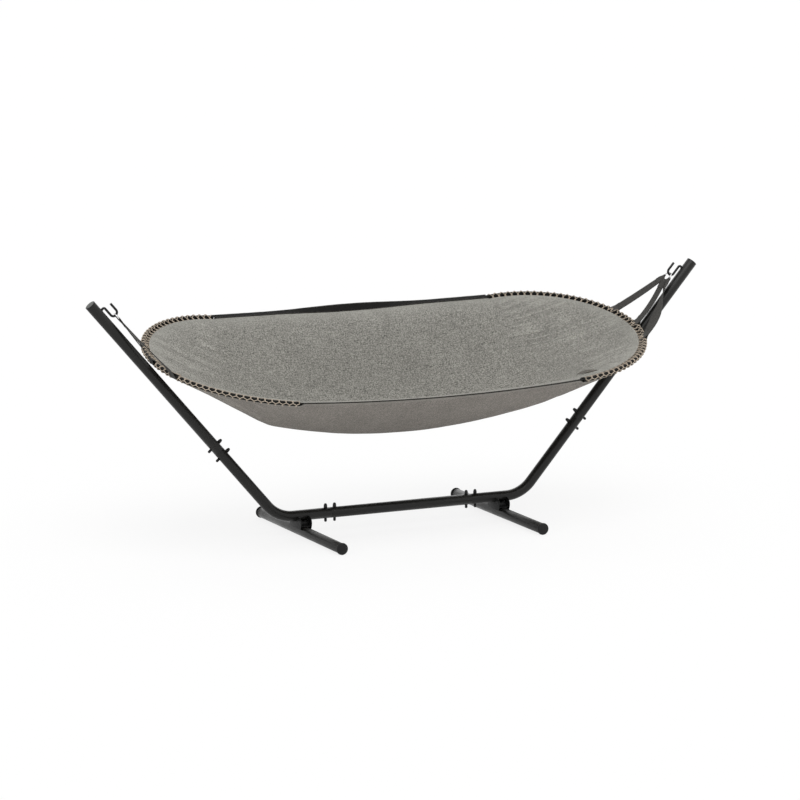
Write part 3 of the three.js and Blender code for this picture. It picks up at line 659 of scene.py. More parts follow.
def coated_metal(nodes, shader, shade, roughness, grain, peel, dust=0.05, shine=0.27):
    """Paint or powder on metal: a fine orange peel, uneven gloss and a little dust on top."""
    surface = nodes.group(fine_grain(), nodes.place(), Grain=grain, Patches=7.0)
    tone = nodes.blend(surface["Patches"], rgba(shade, 0.86), rgba(shade, 1.18))
    settled = nodes.times(surface["Dust"], dust)
    gloss = nodes.between(surface["Patches"], 0.0, 1.0, roughness - 0.05, roughness + 0.07)
    nodes.paint(
        shader,
        nodes.blend(settled, tone, (0.16, 0.155, 0.14, 1)),
        nodes.math("ADD", gloss, nodes.times(settled, 0.3), clamp=True),
        nodes.bump(surface["Height"], peel, 0.6),
        shine=shine,
    )


def galvanised(nodes, shader, shade):
    """Zinc with its frosty spangles."""
    place = nodes.place()
    spangle = nodes.add("ShaderNodeTexVoronoi", {"Vector": place, "Scale": 140.0}).outputs["Color"]
    level = nodes.add("ShaderNodeSeparateColor", {0: spangle}).outputs[0]
    surface = nodes.group(fine_grain(), place, Grain=700.0)
    nodes.paint(
        shader,
        nodes.blend(level, rgba(shade, 0.75), rgba(shade, 1.2)),
        nodes.between(level, 0.0, 1.0, 0.32, 0.55),
        nodes.bump(surface["Height"], 0.00003),
        metal=1.0,
    )


def polished(nodes, shader, shade):
    """Bright wire with hairline scratches that run round it."""
    hair = nodes.streaks(nodes.place(), (300, 2400, 2400), 3.0)
    nodes.paint(
        shader,
        nodes.blend(hair, rgba(shade, 0.9), rgba(shade, 1.1)),
        nodes.between(hair, 0.3, 0.75, 0.10, 0.30),
        nodes.bump(hair, 0.00001),
        metal=1.0,
    )


def canvas(nodes, shader, shade, contrast, warmth):
    """Heathered canvas: woven threads of two tones and longer slubs; painted highlight makes the
    hems a shade lighter and the crease ridges lighter, and painted shade darkens the weave's pits.
    """
    flat = nodes.flat()
    weave = nodes.group(woven_threads(), flat, Threads=1 / bed().thread, Slub=0.62)
    pulled = nodes.group(pulled_creases(), flat)["Height"]
    hem = nodes.add("ShaderNodeAttribute", attribute_name="hem").outputs["Fac"]
    red, green, blue, _ = rgba(shade, 1 + contrast)
    threads = nodes.blend(weave["Shade"], rgba(shade, 1 - contrast), (red * warmth, green, blue, 1))
    # Painted highlight: where the hem mask is set, the cloth's colour is lightened a shade.
    hem_highlighted = nodes.blend(nodes.times(hem, 0.5), threads, rgba(shade, 1.25))
    # Painted shade: the colour is darkened in the weave's pits, the low parts of the thread relief.
    pit_shade = nodes.between(weave["Height"], 0.0, 0.7, 0.72, 1.0)
    broad = nodes.between(nodes.noise(flat, 5.0, 4.0, 0.6), 0.3, 0.7, 0.94, 1.06)
    # Painted highlight: the crease ridges are lightened by up to a fifth.
    level = nodes.times(pit_shade, broad, nodes.plus(nodes.times(pulled, 0.20), 1.0))
    # This multiplier holds the painted pit shade, the painted crease highlight and a broad random
    # tone.
    painted_light_and_tone = nodes.add("ShaderNodeCombineColor", {0: level, 1: level, 2: level}).outputs[0]
    nodes.paint(
        shader,
        nodes.blend(1.0, hem_highlighted, painted_light_and_tone, "MULTIPLY"),
        nodes.between(weave["Shade"], 0.0, 1.0, 0.95, 0.82),
        nodes.bump(weave["Height"], 0.0005, 0.8, Normal=nodes.bump(pulled, 0.003)),
        shine=0.2,
    )


def webbing(nodes, shader, shade, threads, rib, shine):
    """Woven webbing: ribs across its width over a fine weave, painted paler on the ribs' crowns and
    darker in the grooves between them as painted shade.
    """
    flat = nodes.flat()
    weave = nodes.group(woven_threads(), flat, Threads=threads, Slub=0.3)
    at = nodes.split(flat)
    slant = nodes.times(nodes.math("PINGPONG", at["X"], 0.006), 0.8)
    turn = nodes.times(nodes.plus(at["Y"], slant), 2 * math.pi / rib)
    ribs = nodes.between(nodes.math("SINE", turn), -0.8, 0.9)
    relief = nodes.plus(nodes.times(ribs, 0.65), nodes.times(weave["Height"], 0.35))
    # Painted shade: the colour follows the ribs' height, darker in the grooves, mixed with the
    # threads' own random tones.
    rib_shade_and_threads = nodes.times(nodes.plus(ribs, weave["Shade"]), 0.5)
    nodes.paint(
        shader,
        nodes.blend(rib_shade_and_threads, rgba(shade, 0.62), rgba(shade, 1.42)),
        nodes.between(rib_shade_and_threads, 0.0, 1.0, 0.85, 0.68),
        nodes.bump(relief, 0.0004, 0.8),
        shine=shine,
    )


def braid(nodes, shader, shade):
    """Braided cord, painted paler on the strands' crowns and darker between them as painted shade.
    """
    around = 4 / (bed().cord / 2)
    strands = nodes.group(braided_strands(), nodes.flat(), Round=around, Along=2 * math.pi / 0.0052)
    nodes.paint(
        shader,
        nodes.blend(strands["Shade"], rgba(shade, 0.72), rgba(shade, 1.35)),
        nodes.between(strands["Height"], 0.0, 1.0, 0.9, 0.7),
        nodes.bump(strands["Height"], 0.0004),
    )


def twisted(nodes, shader, shade):
    """Twisted thread."""
    surface = nodes.group(fine_grain(), nodes.place(), Grain=2400.0, Patches=40.0)
    nodes.paint(
        shader,
        nodes.blend(surface["Height"], rgba(shade, 0.7), rgba(shade, 1.25)),
        nodes.between(surface["Patches"], 0, 1, 0.6, 0.8),
        nodes.bump(surface["Height"], 0.0001),
    )


def tanned(nodes, shader, shade):
    """Plain leather: pebbled grain, paler where it is rubbed."""
    flat = nodes.flat()
    pebbles = nodes.add("ShaderNodeTexVoronoi", {"Vector": flat, "Scale": 900.0})
    folds = nodes.noise(flat, 260.0, 4.0, 0.6)
    rubbed = nodes.between(nodes.noise(flat, 45.0, 3.0), 0.4, 0.7)
    tone = nodes.blend(rubbed, rgba(shade, 0.75), rgba(shade, 1.5))
    nodes.paint(
        shader,
        nodes.blend(folds, tone, rgba(shade, 0.6)),
        nodes.between(folds, 0.3, 0.7, 0.45, 0.68),
        nodes.bump(nodes.plus(pebbles.outputs["Distance"], folds), 0.00025, 0.7),
    )


# Each finish: the slot it belongs to, what paints it, its colour and the painter's own values
FINISHES = {
    "powder_coat": ("frame_steel", coated_metal, "steel", 0.33, 950.0, 0.00010),
    "matt_coat": ("frame_steel", coated_metal, "steel", 0.55, 950.0, 0.00010, 0.05, 0.08),
    "black_fittings": ("black_hardware", coated_metal, "fittings", 0.30, 1500.0, 0.00004),
    "moulded_plastic": ("black_plastic", coated_metal, "plastic", 0.52, 2600.0, 0.00006, 0.08),
    "scuffed_plastic": ("black_plastic", coated_metal, "scuffed", 0.55, 2600.0, 0.00006),
    "galvanised_zinc": ("", galvanised, "zinc"),
    "polished_steel": ("polished_ring", polished, "ring"),
    "heathered_inner": ("inner_canvas", canvas, "inner", 0.60, 1.01),
    # The outer layer's darker colour is painted shade for the underside in shadow.
    "heathered_outer": ("outer_canvas", canvas, "outer", 0.36, 1.05),
    "ribbed_strap": ("strap_webbing", webbing, "strap", 900.0, 0.0030, 0.2),
    "ribbed_band": ("band_webbing", webbing, "band", 1000.0, 0.0024, 0.05),
    "braided_cord": ("lace_cord", braid, "cord"),
    "sewing_thread": ("", twisted, "thread"),
    "tanned_leather": ("tag_leather", tanned, "leather"),
}


def new_material(name):
    """An empty material's tree and its Principled shader."""
    made = bpy.data.materials.new(name)
    made.use_nodes = True
    return Nodes(made.node_tree), made.node_tree.nodes["Principled BSDF"]


def finish(name):
    """A finish by its name, made at its first use."""
    if name not in bpy.data.materials:
        _, paint, shade, *values = FINISHES[name]
        paint(*new_material(name), getattr(finishes(), shade), *values)
    return bpy.data.materials[name]


# The stand


def open_tube(bar, name, node):
    """A coated tube with a wall, from a bar that was left open."""
    bmesh.ops.recalc_face_normals(bar.bm, faces=bar.bm.faces)
    made = piece(bar.bm, name, "stand", "powder_coat", node)
    facing_out(made)
    thicken(made, stand().wall, -1)
    round_rim(made, math.radians(60))


def facing_out(made):
    """Turns an open tube's faces away from the line that it was swept along."""
    mesh = made.data
    centre = sum((v.co for v in mesh.vertices), Vector()) / len(mesh.vertices)
    widest = max(mesh.polygons, key=lambda p: (p.center - centre).dot(UP) * p.area)
    ring = [p for p in mesh.polygons if (p.center - widest.center).length < stand().tube * 1.2]
    middle = sum((p.center for p in ring), Vector()) / len(ring)
    if widest.normal.dot(widest.center - middle) < 0:
        mesh.flip_normals()


class HAMMOCK_OT_tubes(bpy.types.Operator):
    """Builds the rail, elbows, posts and feet"""

    bl_idname = "hammock.tubes"
    bl_label = "Tubes"

    def execute(self, context):
        sizes = stand()
        radius = sizes.tube / 2
        half = RAIL_JOINT - SEAM / 2
        rail = Bar(Vector((-half, PLANE_Y, RAIL_HEIGHT)), ALONG, radius, sizes.sides).run(2 * half)
        open_tube(rail, "rail_tube", "centre_rail")
        setback = sizes.elbow * math.tan(POST_SLOPE / 2)
        for side, label in SIDES:
            start = Vector((side * (RAIL_JOINT + SEAM / 2), PLANE_Y, RAIL_HEIGHT))
            elbow = Bar(start, side * ALONG, radius, sizes.sides)
            elbow.run(CORNER_REACH - setback - RAIL_JOINT - SEAM / 2)
            elbow.turn_to(post_up(side), sizes.elbow, 24)
            elbow.run(POST_JOINT - setback - SEAM / 2)
            open_tube(elbow, f"{label}_elbow_tube", f"{label}_elbow")
            low = post_point(side, POST_LENGTH - POST_JOINT - SEAM / 2)
            post = Bar(low, post_up(side), radius, sizes.sides)
            post.run(POST_LENGTH - POST_JOINT - SEAM / 2)
            open_tube(post, f"{label}_post_tube", f"{label}_upper_post")
            start = Vector((side * FOOT_REACH, PLANE_Y - FOOT_HALF, FOOT_HEIGHT))
            foot = Bar(start, ACROSS, radius, sizes.sides).run(2 * FOOT_HALF)
            open_tube(foot, f"{label}_foot_tube", f"{label}_foot")
        return {"FINISHED"}


class HAMMOCK_OT_caps(bpy.types.Operator):
    """Builds the plugs in the posts' tops and the caps on the feet"""

    bl_idname = "hammock.caps"
    bl_label = "Caps and plugs"

    def execute(self, context):
        radius = stand().tube / 2
        bore = radius - stand().wall - SEAM
        plug = [
            (0, 0.0035), (radius * 0.55, 0.0034), (radius * 0.86, 0.0028), (radius, 0.0016),
            (radius, 0.0003), (bore, 0.0003), (bore - 0.0006, -0.018), (bore - 0.0025, -0.018),
            (bore - 0.0025, -0.001), (0, -0.001),
        ]
        rim = FOOT_HEIGHT
        cap = [
            (0, FOOT_CAP), (rim * 0.74, FOOT_CAP), (rim * 0.90, FOOT_CAP - 0.0012),
            (rim * 0.985, FOOT_CAP - 0.0048), (rim, FOOT_CAP - 0.0080), (rim, 0.0022),
            (rim * 0.985, SEAM), (bore, SEAM), (bore - 0.0006, -0.022), (bore - 0.0025, -0.022),
            (bore - 0.0025, -0.001), (0, -0.001),
        ]
        for side, label in SIDES:
            bm = turned(plug, 64, 0.0004)
            for face in bm.faces:
                middle = face.calc_center_median()
                # The top face inside its rim takes the second material, a lighter grey.
                if middle.z > 0.002 and math.hypot(middle.x, middle.y) < radius * 0.87:
                    face.material_index = 1
            bm.transform(placed(post_point(side, 0), post_inward(side), post_up(side)))
            made = piece(bm, f"{label}_top_plug", "stand", "moulded_plastic", f"{label}_post_plug")
            made.data.materials.append(finish("scuffed_plastic"))
            for end, place in ((-1, "near"), (1, "far")):
                bm = turned(cap, 64, 0.0004)
                at = Vector((side * FOOT_REACH, PLANE_Y + end * FOOT_HALF, FOOT_HEIGHT))
                bm.transform(placed(at, ALONG, end * ACROSS))
                node = f"{label}_foot_cap_{place}"
                piece(bm, f"{label}_{place}_cap", "stand", "moulded_plastic", node)
        return {"FINISHED"}


def saddle_plate(bm, face):
    """One curved plate of a saddle, cut round under the rail."""
    low = FOOT_HEIGHT + stand().tube / 2 - SADDLE_SKIRT
    high = RAIL_HEIGHT
    wide = SADDLE_WIDTH / 2
    waist = SADDLE_WAIST / 2
    middle = (low + high) / 2
    notch = stand().tube / 2 + SEAM
    shoulder = waist - SADDLE_SKIRT

    def bow(start, pull, end, steps):
        for i in range(1, steps + 1):
            t = i / steps
            yield tuple(
                (1 - t) ** 2 * a + 2 * t * (1 - t) * b + t * t * c
                for a, b, c in zip(start, pull, end)
            )

    outline = [(waist, low)]
    outline += bow((waist, low), (wide, middle - SADDLE_SKIRT), (wide, middle), 10)
    outline += bow((wide, middle), (wide, high - SADDLE_SKIRT), (shoulder, high), 12)
    for i in range(25):
        angle = -math.pi * i / 24
        outline.append((notch * math.cos(angle), high + notch * math.sin(angle)))
    outline += [(-y, z) for y, z in reversed(outline[:23])]
    reach = face * SADDLE_SPREAD / 2
    verts = [bm.verts.new((reach, y, z)) for y, z in outline]
    plate = bm.faces.new(verts)
    grown = bmesh.ops.extrude_face_region(bm, geom=[plate])["geom"]
    moved = [g for g in grown if isinstance(g, bmesh.types.BMVert)]
    bmesh.ops.translate(bm, vec=(-face * PLATE, 0, 0), verts=moved)


class HAMMOCK_OT_saddles(bpy.types.Operator):
    """Builds the brackets that seat the rail on the feet"""

    bl_idname = "hammock.saddles"
    bl_label = "Saddles"

    def execute(self, context):
        top = FOOT_HEIGHT + stand().tube / 2 + SEAM
        under = RAIL_HEIGHT - stand().tube / 2 - SEAM
        for side, label in SIDES:
            bm = bmesh.new()
            for face in (-1, 1):
                saddle_plate(bm, face)
            inside = SADDLE_SPREAD - WEB
            block(bm, (inside, SADDLE_WAIST - 0.002, WEB), (0, 0, top + WEB / 2))
            for y in (-0.034, 0.034):
                block(bm, (inside, 0.0028, 0.018), (0, y, top + 0.012))
            foot = top + 0.003
            at = Matrix.Translation((0, 0, (under + foot) / 2))
            boss = {"segments": 40, "radius1": 0.0115, "radius2": 0.010, "depth": under - foot}
            bmesh.ops.create_cone(bm, cap_ends=True, matrix=at, **boss)
            bmesh.ops.recalc_face_normals(bm, faces=bm.faces)
            soften(bm, 0.0006, 2, math.radians(50))
            bmesh.ops.translate(bm, vec=(side * FOOT_REACH, PLANE_Y, 0), verts=bm.verts)
            piece(bm, f"{label}_bracket", "stand", "moulded_plastic", f"{label}_saddle")
        return {"FINISHED"}


def bolt_places():
    """Each joint bolt: its node's name, its place, its way up and the tube's own way."""
    seam = POST_LENGTH - POST_JOINT
    for side, label in SIDES:
        for step, place in ((-0.5, "upper"), (0.5, "lower")):
            at = post_point(side, seam + step * POST_BOLT_PITCH)
            yield f"{label}_post", place, at, post_inward(side), post_up(side)
        for step, place in ((-0.5, "inner"), (0.5, "outer")):
            at = Vector((side * (RAIL_JOINT + step * RAIL_BOLT_PITCH), PLANE_Y, RAIL_HEIGHT))
            yield f"{label}_rail", place, at, UP, ALONG


# Outlines of the bolts' heads and the cap nuts: share of the radius, and depth below the crown or
# height above the seat
BOLT_CROWN = (
    (0, 0), (0.36, 0.0005), (0.62, 0.0024), (0.78, 0.0056), (0.88, 0.0095), (0.94, 0.0135),
)
BOLT_COLLAR = ((0.95, 0.0036), (0.84, 0.0030), (0.84, 0.0022), (1, 0.0018), (1, 0))
NUT_CROWN = ((0, 0), (0.45, 0.0004), (0.78, 0.0019), (0.94, 0.0042), (0.97, 0.0062))
NUT_COLLAR = ((0.97, 0.0026), (0.80, 0.0021), (0.80, 0.0016), (1, 0.0013), (1, 0))
NUT_RISE = 0.017
SHANK = 0.004  # radius of a bolt below its head
SHANK_REACH = 0.009  # from the tube's far side to the shank's end
THREAD_PLAY = 0.00015
NUT_PLAY = 0.0005


def domed(radius, crown, collar, seat, rise, way):
    """Outline of a dome on its collar, from crown to seat. way is 1 over the tube, else -1."""
    outline = [(radius * share, way * (seat + rise - depth)) for share, depth in crown]
    return outline + [(radius * share, way * (seat + height)) for share, height in collar]


class HAMMOCK_OT_fasteners(bpy.types.Operator):
    """Builds the joint bolts with their washers and cap nuts"""

    bl_idname = "hammock.fasteners"
    bl_label = "Bolts and nuts"

    def execute(self, context):
        sizes = stand()
        seat = sizes.tube / 2 + SEAM
        end = -seat - SHANK_REACH
        bore = -seat - SHANK_REACH - NUT_PLAY
        bolt = domed(sizes.bolt_head / 2, BOLT_CROWN, BOLT_COLLAR, seat, sizes.bolt_rise, 1)
        bolt += [(SHANK, seat), (SHANK, end), (0, end)]
        nut = domed(sizes.nut / 2, NUT_CROWN, NUT_COLLAR, seat, NUT_RISE, -1)
        nut += [(SHANK + THREAD_PLAY, -seat), (SHANK + THREAD_PLAY, bore), (0, bore)]
        for label, place, at, up, way in bolt_places():
            for kind, profile in (("bolt", bolt), ("cap_nut", nut)):
                bm = turned(profile, 32, 0.00025)
                bm.transform(placed(at, way, up))
                node = f"{label}_{kind}_{place}"
                piece(bm, f"{label}_{place}_{kind}", "stand", "black_fittings", node)
        return {"FINISHED"}


class HAMMOCK_OT_hooks(bpy.types.Operator):
    """Builds the hooks with their weld beads, and the rings that hang in them"""

    bl_idname = "hammock.hooks"
    bl_label = "Hooks and rings"

    def execute(self, context):
        bar = stand().hook / 2
        seat = stand().tube / 2 + SEAM
        bottom = HOOK_GAP / 2 - SEAM
        arch = 0.008
        for side, label in SIDES:
            up = post_up(side)
            inward = post_inward(side)
            hook = Bar(post_point(side, HOOK_START, seat), inward, bar, 32)
            hook.run(HOOK_LEG - arch - seat)
            hook.turn_to(-up, arch, 10)
            hook.run(HOOK_BOTTOM - HOOK_START - arch - bottom)
            hook.turn_to(inward, bottom, 14)
            hook.run(2 * SEAM)
            hook.turn_to(up, bottom, 14)
            hook.run(HOOK_BOTTOM - HOOK_TIP - bottom)
            bm = hook.closed(0.0012)
            bead = wire_loop(bar + 0.0004, 0.0014, 12, 32)
            bead.transform(placed(post_point(side, HOOK_START, seat + 0.001), up, inward))
            weld = bpy.data.meshes.new("weld")
            bead.to_mesh(weld)
            bead.free()
            bm.from_mesh(weld)
            bpy.data.meshes.remove(weld)
            piece(bm, f"{label}_hook_bar", "stand", "black_fittings", f"{label}_hook")
            ring = wire_loop(RING_RADIUS, RING_WIRE / 2, 24, 96)
            ring.transform(placed(ring_centre(side), up, inward))
            piece(ring, f"{label}_wire_ring", "bed", "polished_steel", f"{label}_ring")
        return {"FINISHED"}


# The bed's rim


def rim_lift(x):
    """Height of the bow or side band above the bows' ends."""
    reach = abs(x)
    if reach < BOW_CENTRE:
        return -SIDE_SAG * (1 - (reach / BOW_CENTRE) ** 2)
    share = min((reach - BOW_CENTRE) / BOW_RADIUS, 1)
    return BOW_RISE * share * (RISE_SHARE - (RISE_SHARE - 1) * share)


def rim_half_width(x):
    reach = abs(x)
    if reach < BOW_CENTRE:
        return BOW_RADIUS + SIDE_BULGE * (1 - (reach / BOW_CENTRE) ** 2)
    return math.sqrt(max(BOW_RADIUS**2 - (reach - BOW_CENTRE) ** 2, 0))


def bow_point(side, angle):
    """A place of the rim's line: angle round the bow's centre from its tip."""
    x = BOW_CENTRE + BOW_RADIUS * math.cos(angle)
    return Vector((side * x, BOW_RADIUS * math.sin(angle), rim_lift(x))) + RIM_MIDDLE


def bow_way(side, angle):
    return (bow_point(side, angle + 0.02) - bow_point(side, angle - 0.02)).normalized()


def strap_angles():
    return [(STRAP_SHIFT + place) / BOW_RADIUS for place in (-STRAP_SPACING, -0.012, STRAP_SPACING)]


def ring_pull(side):
    return -post_up(side)


def ring_centre(side):
    wire_top = stand().hook / 2 + SEAM + RING_WIRE / 2
    return Vector((side * HOOK_CENTRE.x, 0, 0)) + ring_pull(side) * (RING_RADIUS - wire_top)


def ring_point(side, angle):
    out = ring_pull(side) * math.cos(angle) + ACROSS * math.sin(angle)
    return ring_centre(side) + out * RING_RADIUS


class HAMMOCK_OT_bows(bpy.types.Operator):
    """Builds the two bow bars that hold the bed open"""

    bl_idname = "hammock.bows"
    bl_label = "Bows"

    def execute(self, context):
        steps = 160
        for side, label in SIDES:
            points = [bow_point(side, math.pi * (i / steps - 0.5)) for i in range(steps + 1)]
            bm = cord_along(points, bed().bow / 2, 28)
            soften(bm, 0.0012, 3, math.radians(60))
            piece(bm, f"{label}_bow_bar", "bed", "matt_coat", f"{label}_bow")
        return {"FINISHED"}


# The lacing


def lace_spans():
    """Where each turn of the lacing starts and ends, and whether it passes over a strap."""
    total = math.pi * BOW_RADIUS
    marks = [LACE_END]
    for angle in strap_angles():
        centre = total / 2 + angle * BOW_RADIUS
        marks += [centre - LACE_ZONE / 2, centre + LACE_ZONE / 2]
    marks.append(total - LACE_END)
    spans = []
    for k, (start, end) in enumerate(zip(marks, marks[1:])):
        over_strap = k % 2 == 1
        turns = 1 if over_strap else round((end - start) / bed().pitch)
        for i in range(turns):
            step = (end - start) / turns
            spans.append((start + i * step, start + (i + 1) * step, over_strap))
    return spans


def knot(table, share):
    """Place along the pitch, degrees round the bow and reach of a cord at a share of its turn."""
    for low, high in zip(table, table[1:]):
        if share <= high[0]:
            t = (share - low[0]) / (high[0] - low[0])
            return [a + (b - a) * t for a, b in zip(low[1:], high[1:])]
    return list(table[-1][1:])


def lace_point(side, span, share, way):
    """A point of one of a bow's two cords. They mirror each other and cross outside and inside."""
    start, end, over_strap = span
    table = LACE_OVER_STRAP if over_strap else LACE_TURN
    sums = [0.0, 0.0, 0.0]
    for step in (-0.025, 0, 0.025):
        near = min(max(share + step, 0), 1)
        row = knot(table, near if way > 0 else 1 - near)
        sums = [total + value / 3 for total, value in zip(sums, row)]
    place, degrees, far = sums
    apart = min(place, 1 - place) if way > 0 else abs(place - 0.5)
    if way < 0:
        place = 1 - place
    turn = math.radians(degrees)
    cord = bed().cord
    snug = (bed().bow + cord) / 2 + 0.0002
    if over_strap:
        snug += 0.0021 * math.sin(math.pi * place) ** 0.3
    reach = max(snug, far) + 0.55 * cord * math.exp(-((apart * (end - start) / 0.0035) ** 2))
    angle = (start + (end - start) * place) / BOW_RADIUS - math.pi / 2
    outward = Vector((side * math.cos(angle), math.sin(angle), 0))
    out = outward * (reach * math.cos(turn))
    return bow_point(side, angle) + out + UP * (reach * math.sin(turn))


class HAMMOCK_OT_lacing(bpy.types.Operator):
    """Winds two crossing cords round each bow and through the hems"""

    bl_idname = "hammock.lacing"
    bl_label = "Lacing"

    def execute(self, context):
        steps = 36
        for side, label in SIDES:
            for way, kind in ((1, "over"), (-1, "under")):
                points = [
                    lace_point(side, span, i / steps, way)
                    for span in lace_spans()
                    for i in range(steps)
                ]
                bm = cord_along(points, bed().cord / 2, 8)
                node = f"{label}_lacing" if way > 0 else None
                made = piece(bm, f"{label}_{kind}_lacing", "bed", "braided_cord", node)
                made.data.polygons.foreach_set("use_smooth", [True] * len(made.data.polygons))
        return {"FINISHED"}


# The cloth


def layer_drop(x, y, middle, fold, profile, end_power):
    """Depth of a layer below the rim."""
    reach = abs(x)
    if reach < FOLD_REACH:
        depth = middle - (middle - fold) * (reach / FOLD_REACH) ** 2
    else:
        tip = BOW_CENTRE + BOW_RADIUS
        depth = fold * (max(tip - reach, 0) / (tip - FOLD_REACH)) ** end_power
    share = min(abs(y) / max(rim_half_width(x), SEAM), 1)
    return depth * profile(share)


def inner_drop(x, y):
    return layer_drop(x, y, bed().depth, bed().depth - 0.076, lambda s: (1 - s * s) ** 1.8, 0.9)


def outer_drop(x, y):
    depth = bed().depth + 0.018
    return layer_drop(x, y, depth, depth - 0.078, lambda s: 1 - s**1.8, 0.9)


def crease_lift(x, y, seed):
    """Creases that the bow's pull draws from each tip, and soft waves over the whole cloth."""
    lift = 0.0
    for side in (-1, 1):
        tip = BOW_CENTRE + BOW_RADIUS * 0.98
        away = math.hypot(x - side * tip, y)
        turn = math.atan2(y, -side * (x - side * tip))
        fade = math.exp(-((away - 0.30) / 0.26) ** 2) * min(away / 0.12, 1)
        for k in range(9):
            middle = -1.15 + 0.29 * k + 0.12 * math.sin(seed + 5.1 * k + side)
            wide = 0.035 + 0.012 * math.sin(seed + 2.3 * k)
            level = 0.6 + 0.4 * math.sin(seed + 3.7 * k + 1.9 * side)
            lift += level * fade * math.exp(-(((turn - middle) / wide) ** 2))
    soft = noise.noise(Vector((x * 5.5, y * 5.5, seed))) * 0.9
    soft += noise.noise(Vector((x * 13.0, y * 17.0, seed + 7))) * 0.35
    return bed().crease * (lift + soft)


def hem_shares():
    """Rows of a cloth layer from its hem inwards, close together over the turned hem."""
    reach = BOW_RADIUS
    hem = bed().hem
    doubled = (0, 0.0012, 0.004, hem * 0.5, hem - 0.004, hem - 0.002, hem - 0.0008)
    single = (hem, hem + 0.0012, hem + 0.004, hem + 0.010)
    rows = [1 - d / reach for d in doubled + single]
    inner = rows[-1]
    count = 44
    rows += [inner * (1 - (i / count)) for i in range(1, count + 1)]
    return rows


def rim_station(share):
    """A place round the rim: its point, its outward way, and how far it belongs to a side band."""
    arc = math.pi * BOW_RADIUS
    run = 2 * BOW_CENTRE
    place = (share % 1) * 2 * (arc + run)
    side = 1
    if place >= arc + run:
        place -= arc + run
        side = -1
    if place < arc:
        angle = place / BOW_RADIUS - math.pi / 2
        out = Vector((side * math.cos(angle), side * math.sin(angle), 0))
        point = Vector((side * BOW_CENTRE, 0, 0)) + out * BOW_RADIUS
        return point, out, 0.0
    x = side * (BOW_CENTRE - (place - arc))
    blend = min(max((BOW_CENTRE - abs(x)) / 0.015, 0), 1)
    return Vector((x, side * rim_half_width(x), 0)), side * ACROSS, blend * blend * (3 - 2 * blend)


def band_lean(side, x):
    """Share of its full lean that a side band has: all along if near, in its middle if far."""
    if side < 0:
        return max(1 - (x / BOW_CENTRE) ** 2, 0) ** 0.03
    return 1.32 * max(1 - (x / (BOW_CENTRE * 0.60)) ** 2, 0) ** 2.2 - 0.12


def cloth_layer(columns, edges, drop, lift):
    """A cloth layer as rows from its hem to the bed's middle line, with its flat map in metres."""
    hem_out, hem_down, band_out, band_down = edges
    shares = hem_shares()
    table = []
    for i in range(columns):
        point, out, band = rim_station(i / columns)
        outward = hem_out + (band_out - hem_out) * band
        sewn = band_down
        if band_down < 0:  # the layer is sewn to the leaning band
            sewn += SEWN_LEAN * band_lean(math.copysign(1, point.y), point.x)
        down = hem_down + (sewn - hem_down) * band
        spine = min(max(point.x, -BOW_CENTRE), BOW_CENTRE)
        column = []
        for share in shares:
            x = spine + share * (point.x + out.x * outward - spine)
            y = share * (point.y + out.y * outward)
            reach = (1 - share) * BOW_RADIUS
            raised = HEM_RISE if reach < bed().hem - 0.001 else 0.0
            quiet = min(reach / 0.12, 1)
            under = drop(spine + share * (point.x - spine), share * point.y)
            z = rim_lift(x) - down * share**4 - under
            column.append(Vector((x, y, z + raised + lift(x, y) * quiet)) + RIM_MIDDLE)
        runs = running_lengths(column[::-1])[::-1]
        along = spine if abs(point.x) < BOW_CENTRE else math.copysign(BOW_CENTRE, point.x)
        way = out if abs(point.x) >= BOW_CENTRE else math.copysign(1, point.y) * ACROSS
        table.append([(p, (along + way.x * r, way.y * r)) for p, r in zip(column, runs)])

    def place(i, j):
        return table[i % columns][j]

    return bent_grid(columns, len(shares) - 1, place, 2e-5)


def mark_hem(made, width, fade):
    """Stores the mask of the painted hem highlight: how much of the doubled hem each point has, all
    of it up to a width, then less.
    """
    mark = made.data.attributes.new("hem", "FLOAT", "POINT")
    back = bed_matrix().inverted()
    values = []
    for vert in made.data.vertices:
        level = back @ vert.co - RIM_MIDDLE
        x = abs(level.x)
        if x < BOW_CENTRE:
            reach = rim_half_width(x) - abs(level.y)
        else:
            reach = BOW_RADIUS - math.hypot(x - BOW_CENTRE, level.y)
        values.append(min(max(1 - (reach - width) / fade, 0), 1))
    mark.data.foreach_set("value", values)


# Each layer: its name, its node, its finish, its columns round the rim, how far its edge lies out
# from and below the rim at the bows and then at the bands, its depth, the share and the seed of its
# creases, the width and fade of its painted hem highlight, and the size and area of the flat cloth
CLOTHS = (
    (
        "inner_cloth", "inner_panel", "heathered_inner", 560, (-INNER_HEM, 0.0, -0.0168, -0.0007),
        inner_drop, 1.0, 0.0, (0.036, 0.060), (1.34, 2.60), 2.74,
    ),
    (
        "outer_cloth", "outer_skin", "heathered_outer", 420, (0.0015, 0.0118, 0.0, 0.0010),
        outer_drop, 0.5, 4.0, (0.010, 0.004), (1.40, 2.66), 2.92,
    ),
)


class HAMMOCK_OT_cloth(bpy.types.Operator):
    """Builds the inner and the outer layer of cloth"""

    bl_idname = "hammock.cloth"
    bl_label = "Cloth layers"

    def execute(self, context):
        for name, node, look, columns, edges, drop, creases, seed, hem, flat, area in CLOTHS:
            bm = cloth_layer(columns, edges, drop, lambda x, y: creases * crease_lift(x, y, seed))
            bmesh.ops.recalc_face_normals(bm, faces=bm.faces)
            made = piece(bm, name, "bed", look, node)
            turn_up(made)
            mark_hem(made, *hem)
            thicken(made, bed().cloth, 0)
        return {"FINISHED"}


def turn_up(made):
    """Makes an open cloth face upwards."""
    level = sum(p.normal.z * p.area for p in made.data.polygons)
    if level < 0:
        made.data.flip_normals()


# The side bands


